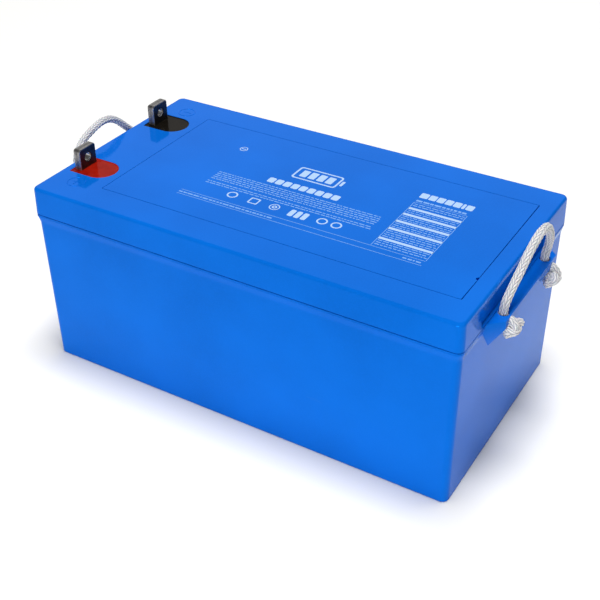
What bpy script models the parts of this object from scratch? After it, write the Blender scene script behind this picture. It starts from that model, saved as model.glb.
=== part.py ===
"""Sealed 12 V AGM deep cycle battery with rope handles, modelled as separate pieces.

Frame: metres, +Z up, origin at the centre of the base. +X runs along the length, away from the
terminals; -Y is the front long side. Every moving piece has its origin on its joint's axis.
"""
import math

import bmesh
import bpy
import numpy as np
from mathutils import Matrix, Vector
from mathutils.geometry import interpolate_bezier

# --- driving dimensions -------------------------------------------------------------------------
LENGTH = 0.521            # over the lid
WIDTH = 0.283
LID_TOP = 0.2268          # the lid's top face
TERMINAL_TOP = 0.2512
SEAM = 0.1938             # where the lid's skirt meets the container's shoulder
GAP = 0.0003              # clearance between neighbouring pieces

CORNER_R = 0.008          # vertical corners of lid and container
LID_DRAFT = 0.0008        # the skirt is this much narrower at the top, each side
LID_EDGE_R = 0.0035       # round of the lid's top edge
RIM_FLARE = 0.0018        # the container's rim stands out this far from its wall
RIM_HEIGHT = 0.010
WALL_DRAFT = 0.0010
BASE_EDGE_R = 0.0016

CAVITY_X = 0.2512         # half sizes of the space inside the walls
CAVITY_Y = 0.1322
FLOOR = 0.006
PARTITION = 0.004
TONGUE = 0.003            # upper wall that stands inside the lid's skirt
WALL_TOP = 0.216
LID_UNDERSIDE = 0.2185

COVER_CENTRE_X = 0.025
COVER_X = 0.215           # half sizes of the vent cover
COVER_Y = 0.102
COVER_GAP = 0.0005
COVER_THICKNESS = 0.003
COVER_RECESS = 0.0033
NOTCH_Y = -0.062
NOTCH_R = 0.0028

WELL_R = 0.018            # round well about each gas nozzle
WELL_FLOOR = 0.213
WELL_WALL = 0.0025
NOZZLE_R = 0.0065
NOZZLE_BORE_R = 0.0035
NOZZLE_TOP = 0.2205

POCKET_Y = 0.0681         # terminal pockets: square end at the lid's edge, round end inwards
POCKET_R = 0.0199
POCKET_END_X = -0.2495
POCKET_ROUND_X = -0.2196
POCKET_DEPTH = 0.006
POTTING_DROP = 0.0010

FLAG_X = -0.2415          # upright terminal plate
FLAG_THICKNESS = 0.009
FLAG_WIDTH = 0.027
FLAG_CORNER_R = 0.003
FLAG_BASE = LID_TOP + 0.0004   # the contact faces start here, above a slightly smaller root
ROOT_INSET = 0.0004
BOLT_Z = 0.2385
BOLT_R = 0.0063
FOOT_THICKNESS = 0.0025
POST_X = -0.236
POST_R = 0.007
POST_HOLE_R = 0.0074
SEAL_SECTION_R = 0.0012

LEDGE_TOP = 0.1933        # rope ledges on the container's ends
LEDGE_X = 0.275
LEDGE_Y = 0.069
LEDGE_ROOT_Y = 0.085
LEDGE_LIP_Z = 0.184
LEDGE_TIP_Z = 0.157
LEDGE_TIP_Y = 0.067
LEDGE_SKIN = 0.003

RECESS_DEPTH = 0.0035     # recess in each end face of the lid, above the ledge
RECESS_TOP = 0.2195
RECESS_TOP_Y = 0.105
RECESS_BOTTOM_Y = 0.094
RECESS_CORNER_R = 0.008

ROPE_R = 0.00475
ROPE_HOLE_X = 0.267
ROPE_HOLE_Y = 0.0565
ROPE_HOLE_R = 0.0057
PIVOT_RISE = 0.0055        # swing axis of each rope over the top of its ledge
PIVOT_Z = LEDGE_TOP + PIVOT_RISE
KNOT_X = 0.278
KNOT_Z = 0.1732
KNOT_SIZE = (0.012, 0.0125, 0.011)

# Cells: two rows of three. Plates stand across Y, and both terminals are at the -X end.
POSITIVE_PLATES = 11
NEGATIVE_PLATES = 12
POSITIVE_THICKNESS = 0.0039
NEGATIVE_THICKNESS = 0.0028
MAT_SPACE = 0.00235
PLATE_WIDTH = 0.158
PLATE_BOTTOM = 0.009
PLATE_TOP = 0.184
MAT_TOP = 0.187
STRAP_BOTTOM = 0.192
STRAP_TOP = 0.201
STRAP_CENTRE = 0.0672     # from the cell's centre, along X
STRAP_HALF = 0.010
LUG_HALF = 0.007
RISER_TOP = 0.211
RISER_THICKNESS = 0.005
RISER_HALF = 0.013
WELD_Z = 0.206
WELD_R = 0.0044


# --- materials ----------------------------------------------------------------------------------
def material(name, colour, roughness, metallic=0.0):
    mat = bpy.data.materials.new(name)
    mat.use_nodes = True
    shader = mat.node_tree.nodes["Principled BSDF"]
    shader.inputs["Base Color"].default_value = (*colour, 1.0)
    shader.inputs["Roughness"].default_value = roughness
    shader.inputs["Metallic"].default_value = metallic
    mat.diffuse_color = (*colour, 1.0)
    return mat


# --- mesh helpers -------------------------------------------------------------------------------
def add_object(name, mesh, mat, origin=(0.0, 0.0, 0.0)):
    """An object whose mesh is given in world coordinates and whose origin sits at origin."""
    mesh.transform(Matrix.Translation(-Vector(origin)))
    obj = bpy.data.objects.new(name, mesh)
    obj.location = origin
    obj.data.materials.append(mat)
    bpy.context.collection.objects.link(obj)
    return obj


def mesh_from(bm, name):
    bmesh.ops.recalc_face_normals(bm, faces=bm.faces)
    mesh = bpy.data.meshes.new(name)
    bm.to_mesh(mesh)
    bm.free()
    return mesh


def join_into(bm, mesh):
    """Adds a mesh's geometry to bm and frees the mesh."""
    bm.from_mesh(mesh)
    bpy.data.meshes.remove(mesh)


def rounded_rectangle(half_x, half_y, radius, steps, centre=(0.0, 0.0)):
    """Points of a rectangle with round corners, anticlockwise, starting at the +X side."""
    points = []
    for quarter, (sx, sy) in enumerate(((1, 1), (-1, 1), (-1, -1), (1, -1))):
        for k in range(steps + 1):
            angle = (quarter + k / steps) * math.pi / 2
            x = centre[0] + sx * (half_x - radius) + radius * math.cos(angle)
            y = centre[1] + sy * (half_y - radius) + radius * math.sin(angle)
            points.append((x, y))
    return points


def loft(rings, name):
    """Closed solid through rings of 3-D points, each with the same count, capped at both ends."""
    bm = bmesh.new()
    rows = [[bm.verts.new(point) for point in ring] for ring in rings]
    for lower, upper in zip(rows, rows[1:]):
        for k in range(len(lower)):
            n = (k + 1) % len(lower)
            bm.faces.new((lower[k], lower[n], upper[n], upper[k]))
    bm.faces.new(reversed(rows[0]))
    bm.faces.new(rows[-1])
    return mesh_from(bm, name)


def prism(outline, low, high, name):
    """Upright solid over an outline of (x, y) points."""
    return loft([[(x, y, z) for x, y in outline] for z in (low, high)], name)


def hull(points, name):
    bm = bmesh.new()
    for point in points:
        bm.verts.new(point)
    bmesh.ops.convex_hull(bm, input=bm.verts)
    bmesh.ops.dissolve_limit(bm, angle_limit=math.radians(0.5), verts=bm.verts, edges=bm.edges)
    return mesh_from(bm, name)


def circle(centre_x, centre_y, radius, sides):
    turn = 2 * math.pi / sides
    return [(centre_x + radius * math.cos(k * turn), centre_y + radius * math.sin(k * turn))
            for k in range(sides)]


def lathe(profile, sides, name):
    """Turns a closed loop of (radius, z) points about Z. A radius of 0 makes a pole."""
    bm = bmesh.new()
    turn = 2 * math.pi / sides
    rows = []
    for radius, z in profile:
        if radius == 0.0:
            rows.append([bm.verts.new((0.0, 0.0, z))] * sides)
        else:
            rows.append([bm.verts.new((radius * math.cos(k * turn), radius * math.sin(k * turn), z))
                         for k in range(sides)])
    pairs = list(zip(rows, rows[1:] + rows[:1]))
    for a, b in pairs:
        for k in range(sides):
            n = (k + 1) % sides
            corners = []
            for vert in (a[k], a[n], b[n], b[k]):
                if vert not in corners:
                    corners.append(vert)
            if len(corners) >= 3:
                bm.faces.new(corners)
    return mesh_from(bm, name)


def lathe_at(profile, x, y, sides=20):
    mesh = lathe(profile, sides, "turned")
    mesh.transform(Matrix.Translation((x, y, 0.0)))
    return mesh


def box_union(boxes, name):
    """One closed solid from overlapping or touching boxes, each (low corner, high corner)."""
    cuts = [sorted({round(corner[axis], 7) for box in boxes for corner in box}) for axis in range(3)]
    filled = np.zeros([len(cut) + 1 for cut in cuts], dtype=bool)
    for low, high in boxes:
        a = [cuts[axis].index(round(low[axis], 7)) for axis in range(3)]
        b = [cuts[axis].index(round(high[axis], 7)) for axis in range(3)]
        filled[a[0] + 1:b[0] + 1, a[1] + 1:b[1] + 1, a[2] + 1:b[2] + 1] = True
    bm = bmesh.new()
    verts = {}

    def corner(i, j, k):
        if (i, j, k) not in verts:
            verts[(i, j, k)] = bm.verts.new((cuts[0][i], cuts[1][j], cuts[2][k]))
        return verts[(i, j, k)]

    for axis in range(3):
        steps = np.zeros(3, dtype=int)
        steps[axis] = 1
        side_a, side_b = np.eye(3, dtype=int)[[(axis + 1) % 3, (axis + 2) % 3]]
        ahead = np.roll(filled, -1, axis=axis)
        for cell in np.argwhere(filled != ahead):
            low = cell - side_a - side_b
            square = (low, low + side_a, low + side_a + side_b, low + side_b)
            if not filled[tuple(cell)]:
                square = square[::-1]
            bm.faces.new([corner(*point) for point in square])
    bmesh.ops.dissolve_limit(bm, angle_limit=math.radians(1), verts=bm.verts, edges=bm.edges)
    return mesh_from(bm, name)


def cutter(name, mesh):
    """A hidden helper solid for a Boolean."""
    obj = bpy.data.objects.new(name, mesh)
    obj.hide_render = True
    obj.display_type = "WIRE"
    bpy.context.collection.objects.link(obj)
    return obj


def boolean(obj, name, operation, mesh):
    modifier = obj.modifiers.new(name, "BOOLEAN")
    modifier.operation = operation
    modifier.solver = "EXACT"
    modifier.object = cutter(f"{obj.name}_{name}", mesh)


def shade_round(mesh):
    mesh.shade_smooth()
    mesh.set_sharp_from_angle(angle=math.radians(35))


def both_ends(make, name):
    """One mesh with the solid that make() gives at the +X end and its turned copy at the -X end."""
    bm = bmesh.new()
    join_into(bm, make())
    half_turn = Matrix.Rotation(math.pi, 4, "Z")
    copy = make()
    copy.transform(half_turn)
    join_into(bm, copy)
    return mesh_from(bm, name)


# --- cell layout --------------------------------------------------------------------------------
CELL_X = (2 * CAVITY_X - 2 * PARTITION) / 3
CELL_Y = (2 * CAVITY_Y - PARTITION) / 2


def cell_centre(column, row):
    """column -1, 0 or 1 along X; row -1 is the front, 1 the rear."""
    return column * (CELL_X + PARTITION), row * (CELL_Y + PARTITION) / 2


# Cells in series from the positive terminal: along the front row, then back along the rear row.
CELLS = [(-1, -1), (0, -1), (1, -1), (1, 1), (0, 1), (-1, 1)]


def weld_places():
    """(centre, axis) of the five through-the-wall joints, in series order."""
    step = (CELL_X + PARTITION) / 2
    row_y = (CELL_Y + PARTITION) / 2
    return [
        ((-step, -row_y, WELD_Z), "X"),
        ((step, -row_y, WELD_Z), "X"),
        ((CELL_X + PARTITION + STRAP_CENTRE, 0.0, WELD_Z), "Y"),
        ((step, row_y, WELD_Z), "X"),
        ((-step, row_y, WELD_Z), "X"),
    ]


def rod(centre, axis, radius, length, sides, name):
    """Round bar along a row axis."""
    mesh = prism(circle(0.0, 0.0, radius, sides), -length / 2, length / 2, name)
    if axis == "X":
        mesh.transform(Matrix.Rotation(math.pi / 2, 4, "Y"))
    elif axis == "Y":
        mesh.transform(Matrix.Rotation(math.pi / 2, 4, "X"))
    mesh.transform(Matrix.Translation(centre))
    return mesh


# --- container ----------------------------------------------------------------------------------
def container_outline(half_x, half_y, z, radius=CORNER_R):
    return [(x, y, z) for x, y in rounded_rectangle(half_x, half_y, radius, 6)]


def ledge_solid():
    """Wedge with splayed ends, rooted inside the end wall and hollowed from below."""
    root_x = CAVITY_X + 0.002
    wall_x = LENGTH / 2 - RIM_FLARE
    points = []
    for side in (-1, 1):
        for x in (root_x, wall_x):
            points.append((x, side * LEDGE_ROOT_Y, LEDGE_TOP))
            points.append((x, side * LEDGE_ROOT_Y, LEDGE_TOP - 0.012))
            points.append((x, side * LEDGE_TIP_Y, LEDGE_TIP_Z))
        points.append((LEDGE_X, side * LEDGE_Y, LEDGE_TOP))
        points.append((LEDGE_X, side * LEDGE_Y, LEDGE_LIP_Z))
        points.append((wall_x + 0.003, side * (LEDGE_Y + 0.002), LEDGE_TOP))
    return hull(points, "ledge")


def ledge_hollow():
    """Space under the ledge's top plate, behind its lip and open below the lip."""
    inner_x = wall_x_at(LEDGE_TIP_Z) + 0.0002
    half_y = LEDGE_Y - LEDGE_SKIN
    behind_lip = ((inner_x, -half_y, LEDGE_TIP_Z - 0.005),
                  (LEDGE_X - LEDGE_SKIN, half_y, LEDGE_TOP - LEDGE_SKIN))
    below_lip = ((inner_x, -half_y, LEDGE_TIP_Z - 0.005), (LEDGE_X + 0.001, half_y, LEDGE_LIP_Z))
    return box_union([behind_lip, below_lip], "ledge_hollow")


def wall_x_at(z):
    """Half length of the container's drafted wall at a height."""
    return LENGTH / 2 - RIM_FLARE - WALL_DRAFT * (1 - z / (SEAM - RIM_HEIGHT))


def rope_holes():
    bm = bmesh.new()
    for side in (-1, 1):
        join_into(bm, prism(circle(ROPE_HOLE_X, side * ROPE_HOLE_Y, ROPE_HOLE_R, 20),
                            LEDGE_TOP - LEDGE_SKIN - 0.001, LEDGE_TOP + 0.001, "rope_hole"))
    return mesh_from(bm, "rope_holes")


def make_container(mat):
    half_x = LENGTH / 2
    half_y = WIDTH / 2
    foot_x = half_x - RIM_FLARE - WALL_DRAFT
    foot_y = half_y - RIM_FLARE - WALL_DRAFT
    rings = []
    for k in range(4):
        angle = k / 3 * math.pi / 2
        inset = BASE_EDGE_R * (1 - math.sin(angle))
        z = BASE_EDGE_R * (1 - math.cos(angle))
        rings.append(container_outline(foot_x - inset, foot_y - inset, z, CORNER_R - inset))
    rings.append(container_outline(half_x - RIM_FLARE, half_y - RIM_FLARE, SEAM - RIM_HEIGHT))
    rings.append(container_outline(half_x, half_y, SEAM - 0.0006))
    rings.append(container_outline(half_x - 0.0006, half_y - 0.0006, SEAM, CORNER_R - 0.0006))
    tongue_x = CAVITY_X + TONGUE
    tongue_y = CAVITY_Y + TONGUE
    rings.append(container_outline(tongue_x, tongue_y, SEAM, CORNER_R / 2))
    rings.append(container_outline(tongue_x, tongue_y, WALL_TOP, CORNER_R / 2))
    obj = add_object("container", loft(rings, "container"), mat)

    boolean(obj, "ledges", "UNION", both_ends(ledge_solid, "ledges"))
    boolean(obj, "ledge_hollows", "DIFFERENCE", both_ends(ledge_hollow, "ledge_hollows"))
    boolean(obj, "rope_holes", "DIFFERENCE", both_ends(rope_holes, "rope_holes"))

    bm = bmesh.new()
    for column, row in CELLS:
        cx, cy = cell_centre(column, row)
        join_into(bm, prism(rounded_rectangle(CELL_X / 2, CELL_Y / 2, 0.001, 1, (cx, cy)),
                            FLOOR, WALL_TOP + 0.001, "cell"))
    boolean(obj, "cells", "DIFFERENCE", mesh_from(bm, "cells"))

    bm = bmesh.new()
    for centre, axis in weld_places():
        join_into(bm, rod(centre, axis, WELD_R + GAP, PARTITION + 0.001, 12, "weld_hole"))
    boolean(obj, "weld_holes", "DIFFERENCE", mesh_from(bm, "weld_holes"))
    return obj


# --- lid ----------------------------------------------------------------------------------------
def pocket_outline(offset):
    """D shape of the front terminal pocket, grown by offset."""
    radius = POCKET_R + offset
    points = [(POCKET_END_X - offset, POCKET_Y + radius), (POCKET_END_X - offset, POCKET_Y - radius)]
    sides = 20
    for k in range(sides + 1):
        angle = -math.pi / 2 + k / sides * math.pi
        points.append((POCKET_ROUND_X + radius * math.cos(angle), POCKET_Y + radius * math.sin(angle)))
    return points


def mirrored_y(outline):
    return [(x, -y) for x, y in reversed(outline)]


def lid_recess():
    """Cutter for the recess in an end face: wide at the top, narrower at the seam."""
    slope = (RECESS_TOP_Y - RECESS_BOTTOM_Y) / (RECESS_TOP - SEAM)
    low = SEAM - 0.004
    corner = (RECESS_TOP_Y - RECESS_CORNER_R, RECESS_TOP - RECESS_CORNER_R)
    right = [(RECESS_BOTTOM_Y - slope * 0.004, low)]
    for k in range(7):
        angle = k / 6 * math.pi / 2
        right.append((corner[0] + RECESS_CORNER_R * math.cos(angle),
                      corner[1] + RECESS_CORNER_R * math.sin(angle)))
    outline = right + [(-y, z) for y, z in reversed(right)]
    inner = LENGTH / 2 - RECESS_DEPTH
    rings = [[(x, y, z) for y, z in outline] for x in (inner, LENGTH / 2 + 0.002)]
    return loft(rings, "lid_recess")


def make_lid(mat):
    half_x = LENGTH / 2
    half_y = WIDTH / 2
    bottom = SEAM + GAP
    rings = [container_outline(half_x - 0.0005, half_y - 0.0005, bottom, CORNER_R - 0.0005),
             container_outline(half_x, half_y, bottom + 0.0005)]
    steps = 5
    for k in range(steps + 1):
        angle = k / steps * math.pi / 2
        inset = LID_DRAFT + LID_EDGE_R * (1 - math.cos(angle))
        z = LID_TOP - LID_EDGE_R * (1 - math.sin(angle))
        rings.append(container_outline(half_x - inset, half_y - inset, z, CORNER_R - 0.7 * inset))
    obj = add_object("lid", loft(rings, "lid"), mat)

    inner_x = CAVITY_X + TONGUE + GAP
    inner_y = CAVITY_Y + TONGUE + GAP
    inside = prism(rounded_rectangle(inner_x, inner_y, CORNER_R / 2, 3), SEAM - 0.002,
                   LID_UNDERSIDE, "lid_inside")
    boolean(obj, "inside", "DIFFERENCE", inside)

    bm = bmesh.new()
    low = WELL_FLOOR - WELL_WALL
    for column, row in CELLS:
        cx, cy = cell_centre(column, row)
        join_into(bm, prism(circle(cx, cy, WELL_R + WELL_WALL, 24), low, LID_UNDERSIDE + 0.001, "cup"))
    for side in (-1, 1):
        join_into(bm, prism(circle(POST_X, side * POCKET_Y, POST_HOLE_R + 0.003, 20),
                            LID_UNDERSIDE - 0.006, LID_UNDERSIDE + 0.001, "post_boss"))
    boolean(obj, "bosses", "UNION", mesh_from(bm, "bosses"))

    rib_low = WALL_TOP + GAP
    rib_high = LID_UNDERSIDE + 0.001
    boxes = [((-CAVITY_X, -PARTITION / 2, rib_low), (CAVITY_X, PARTITION / 2, rib_high))]
    for side in (-1, 1):
        x = side * (CELL_X + PARTITION) / 2
        boxes.append(((x - PARTITION / 2, -CAVITY_Y, rib_low), (x + PARTITION / 2, CAVITY_Y, rib_high)))
    boolean(obj, "ribs", "UNION", box_union(boxes, "ribs"))

    bm = bmesh.new()
    join_into(bm, prism(rounded_rectangle(COVER_X + COVER_GAP, COVER_Y + COVER_GAP, 0.0015, 3,
                                          (COVER_CENTRE_X, 0.0)),
                        LID_TOP - COVER_RECESS, LID_TOP + 0.001, "cover_recess"))
    for outline in (pocket_outline(0.0), mirrored_y(pocket_outline(0.0))):
        join_into(bm, prism(outline, LID_TOP - POCKET_DEPTH, LID_TOP + 0.001, "pocket"))
    boolean(obj, "top_recesses", "DIFFERENCE", mesh_from(bm, "top_recesses"))

    wells = bmesh.new()
    well_top = LID_TOP - COVER_RECESS + 0.001
    for column, row in CELLS:
        cx, cy = cell_centre(column, row)
        join_into(wells, lathe_at([(0.0, low - 0.001), (NOZZLE_BORE_R, low - 0.001),
                                   (NOZZLE_BORE_R, NOZZLE_TOP), (NOZZLE_R, NOZZLE_TOP),
                                   (NOZZLE_R, WELL_FLOOR), (WELL_R, WELL_FLOOR),
                                   (WELL_R, well_top), (0.0, well_top)], cx, cy))
    boolean(obj, "wells", "DIFFERENCE", mesh_from(wells, "wells"))

    posts = bmesh.new()
    for side in (-1, 1):
        join_into(posts, prism(circle(POST_X, side * POCKET_Y, POST_HOLE_R, 20),
                               LID_UNDERSIDE - 0.007, LID_TOP, "post_hole"))
    boolean(obj, "post_holes", "DIFFERENCE", mesh_from(posts, "post_holes"))

    boolean(obj, "end_recesses", "DIFFERENCE", both_ends(lid_recess, "end_recesses"))
    return obj


# --- vent cover and valve caps ------------------------------------------------------------------
def make_vent_cover(mat):
    """Flush plate; its origin is on the lid's recess floor, where it lifts off from."""
    outline = rounded_rectangle(COVER_X, COVER_Y, 0.0012, 3, (COVER_CENTRE_X, 0.0))
    small = rounded_rectangle(COVER_X - 0.0003, COVER_Y - 0.0003, 0.0009, 3, (COVER_CENTRE_X, 0.0))
    bottom = LID_TOP - COVER_THICKNESS
    mesh = loft([[(x, y, bottom) for x, y in outline],
                 [(x, y, LID_TOP - 0.0003) for x, y in outline],
                 [(x, y, LID_TOP) for x, y in small]], "vent_cover")
    edge_x = COVER_CENTRE_X + COVER_X
    obj = add_object("vent_cover", mesh, mat, (COVER_CENTRE_X, 0.0, bottom))
    notch = prism(circle(edge_x + 0.0006, NOTCH_Y, NOTCH_R, 16), bottom - 0.001, LID_TOP + 0.001, "notch")
    boolean(obj, "pry_notch", "DIFFERENCE", notch)
    return obj


def make_valve_cap(index, cell, mat):
    """Elastic cap that grips the nozzle; gas lifts its skirt."""
    cx, cy = cell_centre(*cell)
    inner = NOZZLE_R + GAP
    outer = NOZZLE_R + 0.0022
    skirt = WELL_FLOOR + 0.0012
    crown = LID_TOP - COVER_RECESS - 0.0008
    profile = [(outer, skirt), (outer, crown - 0.0008), (outer - 0.0008, crown), (0.0, crown),
               (0.0, NOZZLE_TOP + GAP), (inner, NOZZLE_TOP + GAP), (inner, skirt)]
    mesh = lathe_at(profile[::-1], cx, cy, 16)
    shade_round(mesh)
    return add_object(f"valve_cap_{index}", mesh, mat)


# --- terminals ----------------------------------------------------------------------------------
def flag_outline(y_centre):
    """Face of the upright plate in (y, z), with round top corners."""
    half = FLAG_WIDTH / 2
    points = [(y_centre - half, FLAG_BASE), (y_centre + half, FLAG_BASE)]
    for start, side in ((0.0, 1), (math.pi / 2, -1)):
        for k in range(4):
            angle = start + k / 3 * math.pi / 2
            points.append((y_centre + side * (half - FLAG_CORNER_R) + FLAG_CORNER_R * math.cos(angle),
                           TERMINAL_TOP - FLAG_CORNER_R + FLAG_CORNER_R * math.sin(angle)))
    return points


def foot_box(y_centre, grow=0.0):
    half = FLAG_WIDTH / 2 - ROOT_INSET + grow
    base = LID_TOP - POCKET_DEPTH + GAP
    return ((FLAG_X - FLAG_THICKNESS / 2 + ROOT_INSET - grow, y_centre - half, base - grow),
            (POST_X + POST_R + 0.001 + grow, y_centre + half, base + FOOT_THICKNESS + grow))


def root_box(y_centre):
    """The flag's root, from the pocket's floor up into the flag."""
    half_x = FLAG_THICKNESS / 2 - ROOT_INSET
    half_y = FLAG_WIDTH / 2 - ROOT_INSET
    return ((FLAG_X - half_x, y_centre - half_y, LID_TOP - POCKET_DEPTH + GAP),
            (FLAG_X + half_x, y_centre + half_y, FLAG_BASE + 0.001))


def make_terminal(name, side, mat):
    """L-shaped lead terminal: upright flag, foot under the potting and post down to the strap."""
    y = side * POCKET_Y
    half = FLAG_THICKNESS / 2
    edge = 0.0006
    small = [(y + (py - y) * (1 - edge / FLAG_WIDTH * 2), pz - (edge if pz > FLAG_BASE else 0.0))
             for py, pz in flag_outline(y)]
    full = flag_outline(y)
    rings = [[(FLAG_X - half, py, pz) for py, pz in small],
             [(FLAG_X - half + edge, py, pz) for py, pz in full],
             [(FLAG_X + half - edge, py, pz) for py, pz in full],
             [(FLAG_X + half, py, pz) for py, pz in small]]
    obj = add_object(name, loft(rings, name), mat)
    boolean(obj, "foot", "UNION", box_union([root_box(y), foot_box(y)], "foot"))
    post_top = LID_TOP - POCKET_DEPTH + GAP + FOOT_THICKNESS / 2
    boolean(obj, "post", "UNION", prism(circle(POST_X, y, POST_R, 20), STRAP_TOP + GAP, post_top, "post"))
    boolean(obj, "bolt_hole", "DIFFERENCE",
            rod((FLAG_X, y, BOLT_Z), "X", BOLT_R, FLAG_THICKNESS + 0.002, 28, "bolt_hole"))
    return obj


def make_terminal_seal(name, side, mat):
    """O-ring round the post, in the clearance under the foot."""
    bm = bmesh.new()
    rings = 16
    sides = 6
    major = POST_R + GAP + SEAL_SECTION_R
    centre_z = LID_UNDERSIDE - 0.006 - SEAL_SECTION_R - GAP
    rows = []
    for i in range(rings):
        around = 2 * math.pi * i / rings
        rows.append([])
        for j in range(sides):
            turn = 2 * math.pi * j / sides
            radius = major + SEAL_SECTION_R * math.cos(turn)
            rows[i].append(bm.verts.new((POST_X + radius * math.cos(around),
                                         side * POCKET_Y + radius * math.sin(around),
                                         centre_z + SEAL_SECTION_R * math.sin(turn))))
    for i in range(rings):
        for j in range(sides):
            n = (i + 1) % rings
            m = (j + 1) % sides
            bm.faces.new((rows[i][j], rows[n][j], rows[n][m], rows[i][m]))
    mesh = mesh_from(bm, name)
    shade_round(mesh)
    return add_object(name, mesh, mat)


def make_potting(name, side, mat):
    """Epoxy that fills the pocket round the flag, over the foot."""
    outline = pocket_outline(-GAP)
    if side < 0:
        outline = mirrored_y(outline)
    low = LID_TOP - POCKET_DEPTH + GAP
    obj = add_object(name, prism(outline, low, LID_TOP - POTTING_DROP, name), mat)
    y = side * POCKET_Y
    half = FLAG_THICKNESS / 2 - ROOT_INSET + GAP
    width = FLAG_WIDTH / 2 - ROOT_INSET + GAP
    flag = ((FLAG_X - half, y - width, low - 0.001), (FLAG_X + half, y + width, LID_TOP))
    foot_low, foot_high = foot_box(y, GAP)
    foot = ((foot_low[0], foot_low[1], low - 0.001), foot_high)
    boolean(obj, "flag_slot", "DIFFERENCE", box_union([flag, foot], "flag_slot"))
    return obj


# --- plates, mat and welds ----------------------------------------------------------------------
def stack_places(cy):
    """(low y, high y) of each negative, positive and mat layer of one cell, front to rear."""
    total = (NEGATIVE_PLATES * NEGATIVE_THICKNESS + POSITIVE_PLATES * POSITIVE_THICKNESS
             + (NEGATIVE_PLATES + POSITIVE_PLATES - 1) * MAT_SPACE)
    y = cy - total / 2
    layers = {"negative": [], "positive": [], "mat": []}
    for k in range(NEGATIVE_PLATES + POSITIVE_PLATES):
        kind = "positive" if k % 2 else "negative"
        thickness = POSITIVE_THICKNESS if k % 2 else NEGATIVE_THICKNESS
        layers[kind].append((y, y + thickness))
        y += thickness
        if k < NEGATIVE_PLATES + POSITIVE_PLATES - 1:
            layers["mat"].append((y + GAP, y + MAT_SPACE - GAP))
        y += MAT_SPACE
    return layers


def make_plate_group(name, cell, polarity, side, link, mat):
    """Plates of one polarity hung from their strap. side is the strap's end of the cell along X."""
    cx, cy = cell_centre(*cell)
    layers = stack_places(cy)[polarity]
    strap_x = cx + side * STRAP_CENTRE
    boxes = []
    for low, high in layers:
        boxes.append(((cx - PLATE_WIDTH / 2, low, PLATE_BOTTOM), (cx + PLATE_WIDTH / 2, high, PLATE_TOP)))
        boxes.append(((strap_x - LUG_HALF, low, PLATE_TOP), (strap_x + LUG_HALF, high, STRAP_BOTTOM)))
    low_y, high_y = layers[0][0], layers[-1][1]
    row = cell[1]
    strap_low = [strap_x - STRAP_HALF, low_y, STRAP_BOTTOM]
    strap_high = [strap_x + STRAP_HALF, high_y, STRAP_TOP]
    if link == "along":
        wall = cx + side * (CELL_X / 2 - GAP)
        riser_x = sorted((wall, wall - side * RISER_THICKNESS))
        strap_low[0] = min(strap_low[0], riser_x[0])
        strap_high[0] = max(strap_high[0], riser_x[1])
        boxes.append(((riser_x[0], cy - RISER_HALF, STRAP_BOTTOM),
                      (riser_x[1], cy + RISER_HALF, RISER_TOP)))
    elif link == "across":
        wall = cy - row * (CELL_Y / 2 - GAP)
        riser_y = sorted((wall, wall + row * RISER_THICKNESS))
        strap_low[1] = min(strap_low[1], riser_y[0])
        strap_high[1] = max(strap_high[1], riser_y[1])
        boxes.append(((strap_x - STRAP_HALF, riser_y[0], STRAP_BOTTOM),
                      (strap_x + STRAP_HALF, riser_y[1], RISER_TOP)))
    boxes.append((strap_low, strap_high))
    return add_object(name, box_union(boxes, name), mat)


def make_separator(name, cell, mat):
    """Glass mat folded up between the plates; the folds meet under them."""
    cx, cy = cell_centre(*cell)
    layers = stack_places(cy)["mat"]
    half = PLATE_WIDTH / 2 + 0.0015
    boxes = [((cx - half, layers[0][0], FLOOR + 0.0004), (cx + half, layers[-1][1], PLATE_BOTTOM - GAP))]
    for low, high in layers:
        boxes.append(((cx - half, low, PLATE_BOTTOM - GAP), (cx + half, high, MAT_TOP)))
    return add_object(name, box_union(boxes, name), mat)


def make_welds(mat):
    for index, (centre, axis) in enumerate(weld_places(), start=1):
        mesh = rod(centre, axis, WELD_R, PARTITION, 12, "weld")
        add_object(f"intercell_weld_{index}", mesh, mat)


# --- rope handles -------------------------------------------------------------------------------
def smooth_path(points, per_span=4):
    """Catmull-Rom curve through the points."""
    ends = [2 * points[0] - points[1]] + points + [2 * points[-1] - points[-2]]
    path = []
    for a, b, c, d in zip(ends, ends[1:], ends[2:], ends[3:]):
        path += interpolate_bezier(b, b + (c - a) / 6, c - (d - b) / 6, c, per_span + 1)[:-1]
    path.append(points[-1])
    return path


def rope_tube(name, path, radius, mat, origin):
    """Closed round tube along a path with ball-shaped ends, as a curve object."""
    balls = [(math.sin(math.radians(angle)), math.cos(math.radians(angle))) for angle in (30, 60, 84)]
    first = (path[0] - path[1]).normalized() * radius
    last = (path[-1] - path[-2]).normalized() * radius
    places = [(path[0] + along * first, size) for along, size in reversed(balls)]
    places += [(place, 1.0) for place in path]
    places += [(path[-1] + along * last, size) for along, size in balls]
    curve = bpy.data.curves.new(name, "CURVE")
    curve.dimensions = "3D"
    curve.bevel_depth = radius
    curve.bevel_resolution = 2
    curve.use_fill_caps = True
    spline = curve.splines.new("POLY")
    spline.points.add(len(places) - 1)
    for point, (place, size) in zip(spline.points, places):
        point.co = (*(place - Vector(origin)), 1.0)
        point.radius = size
    curve.materials.append(mat)
    obj = bpy.data.objects.new(name, curve)
    obj.location = origin
    bpy.context.collection.objects.link(obj)
    return obj


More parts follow.
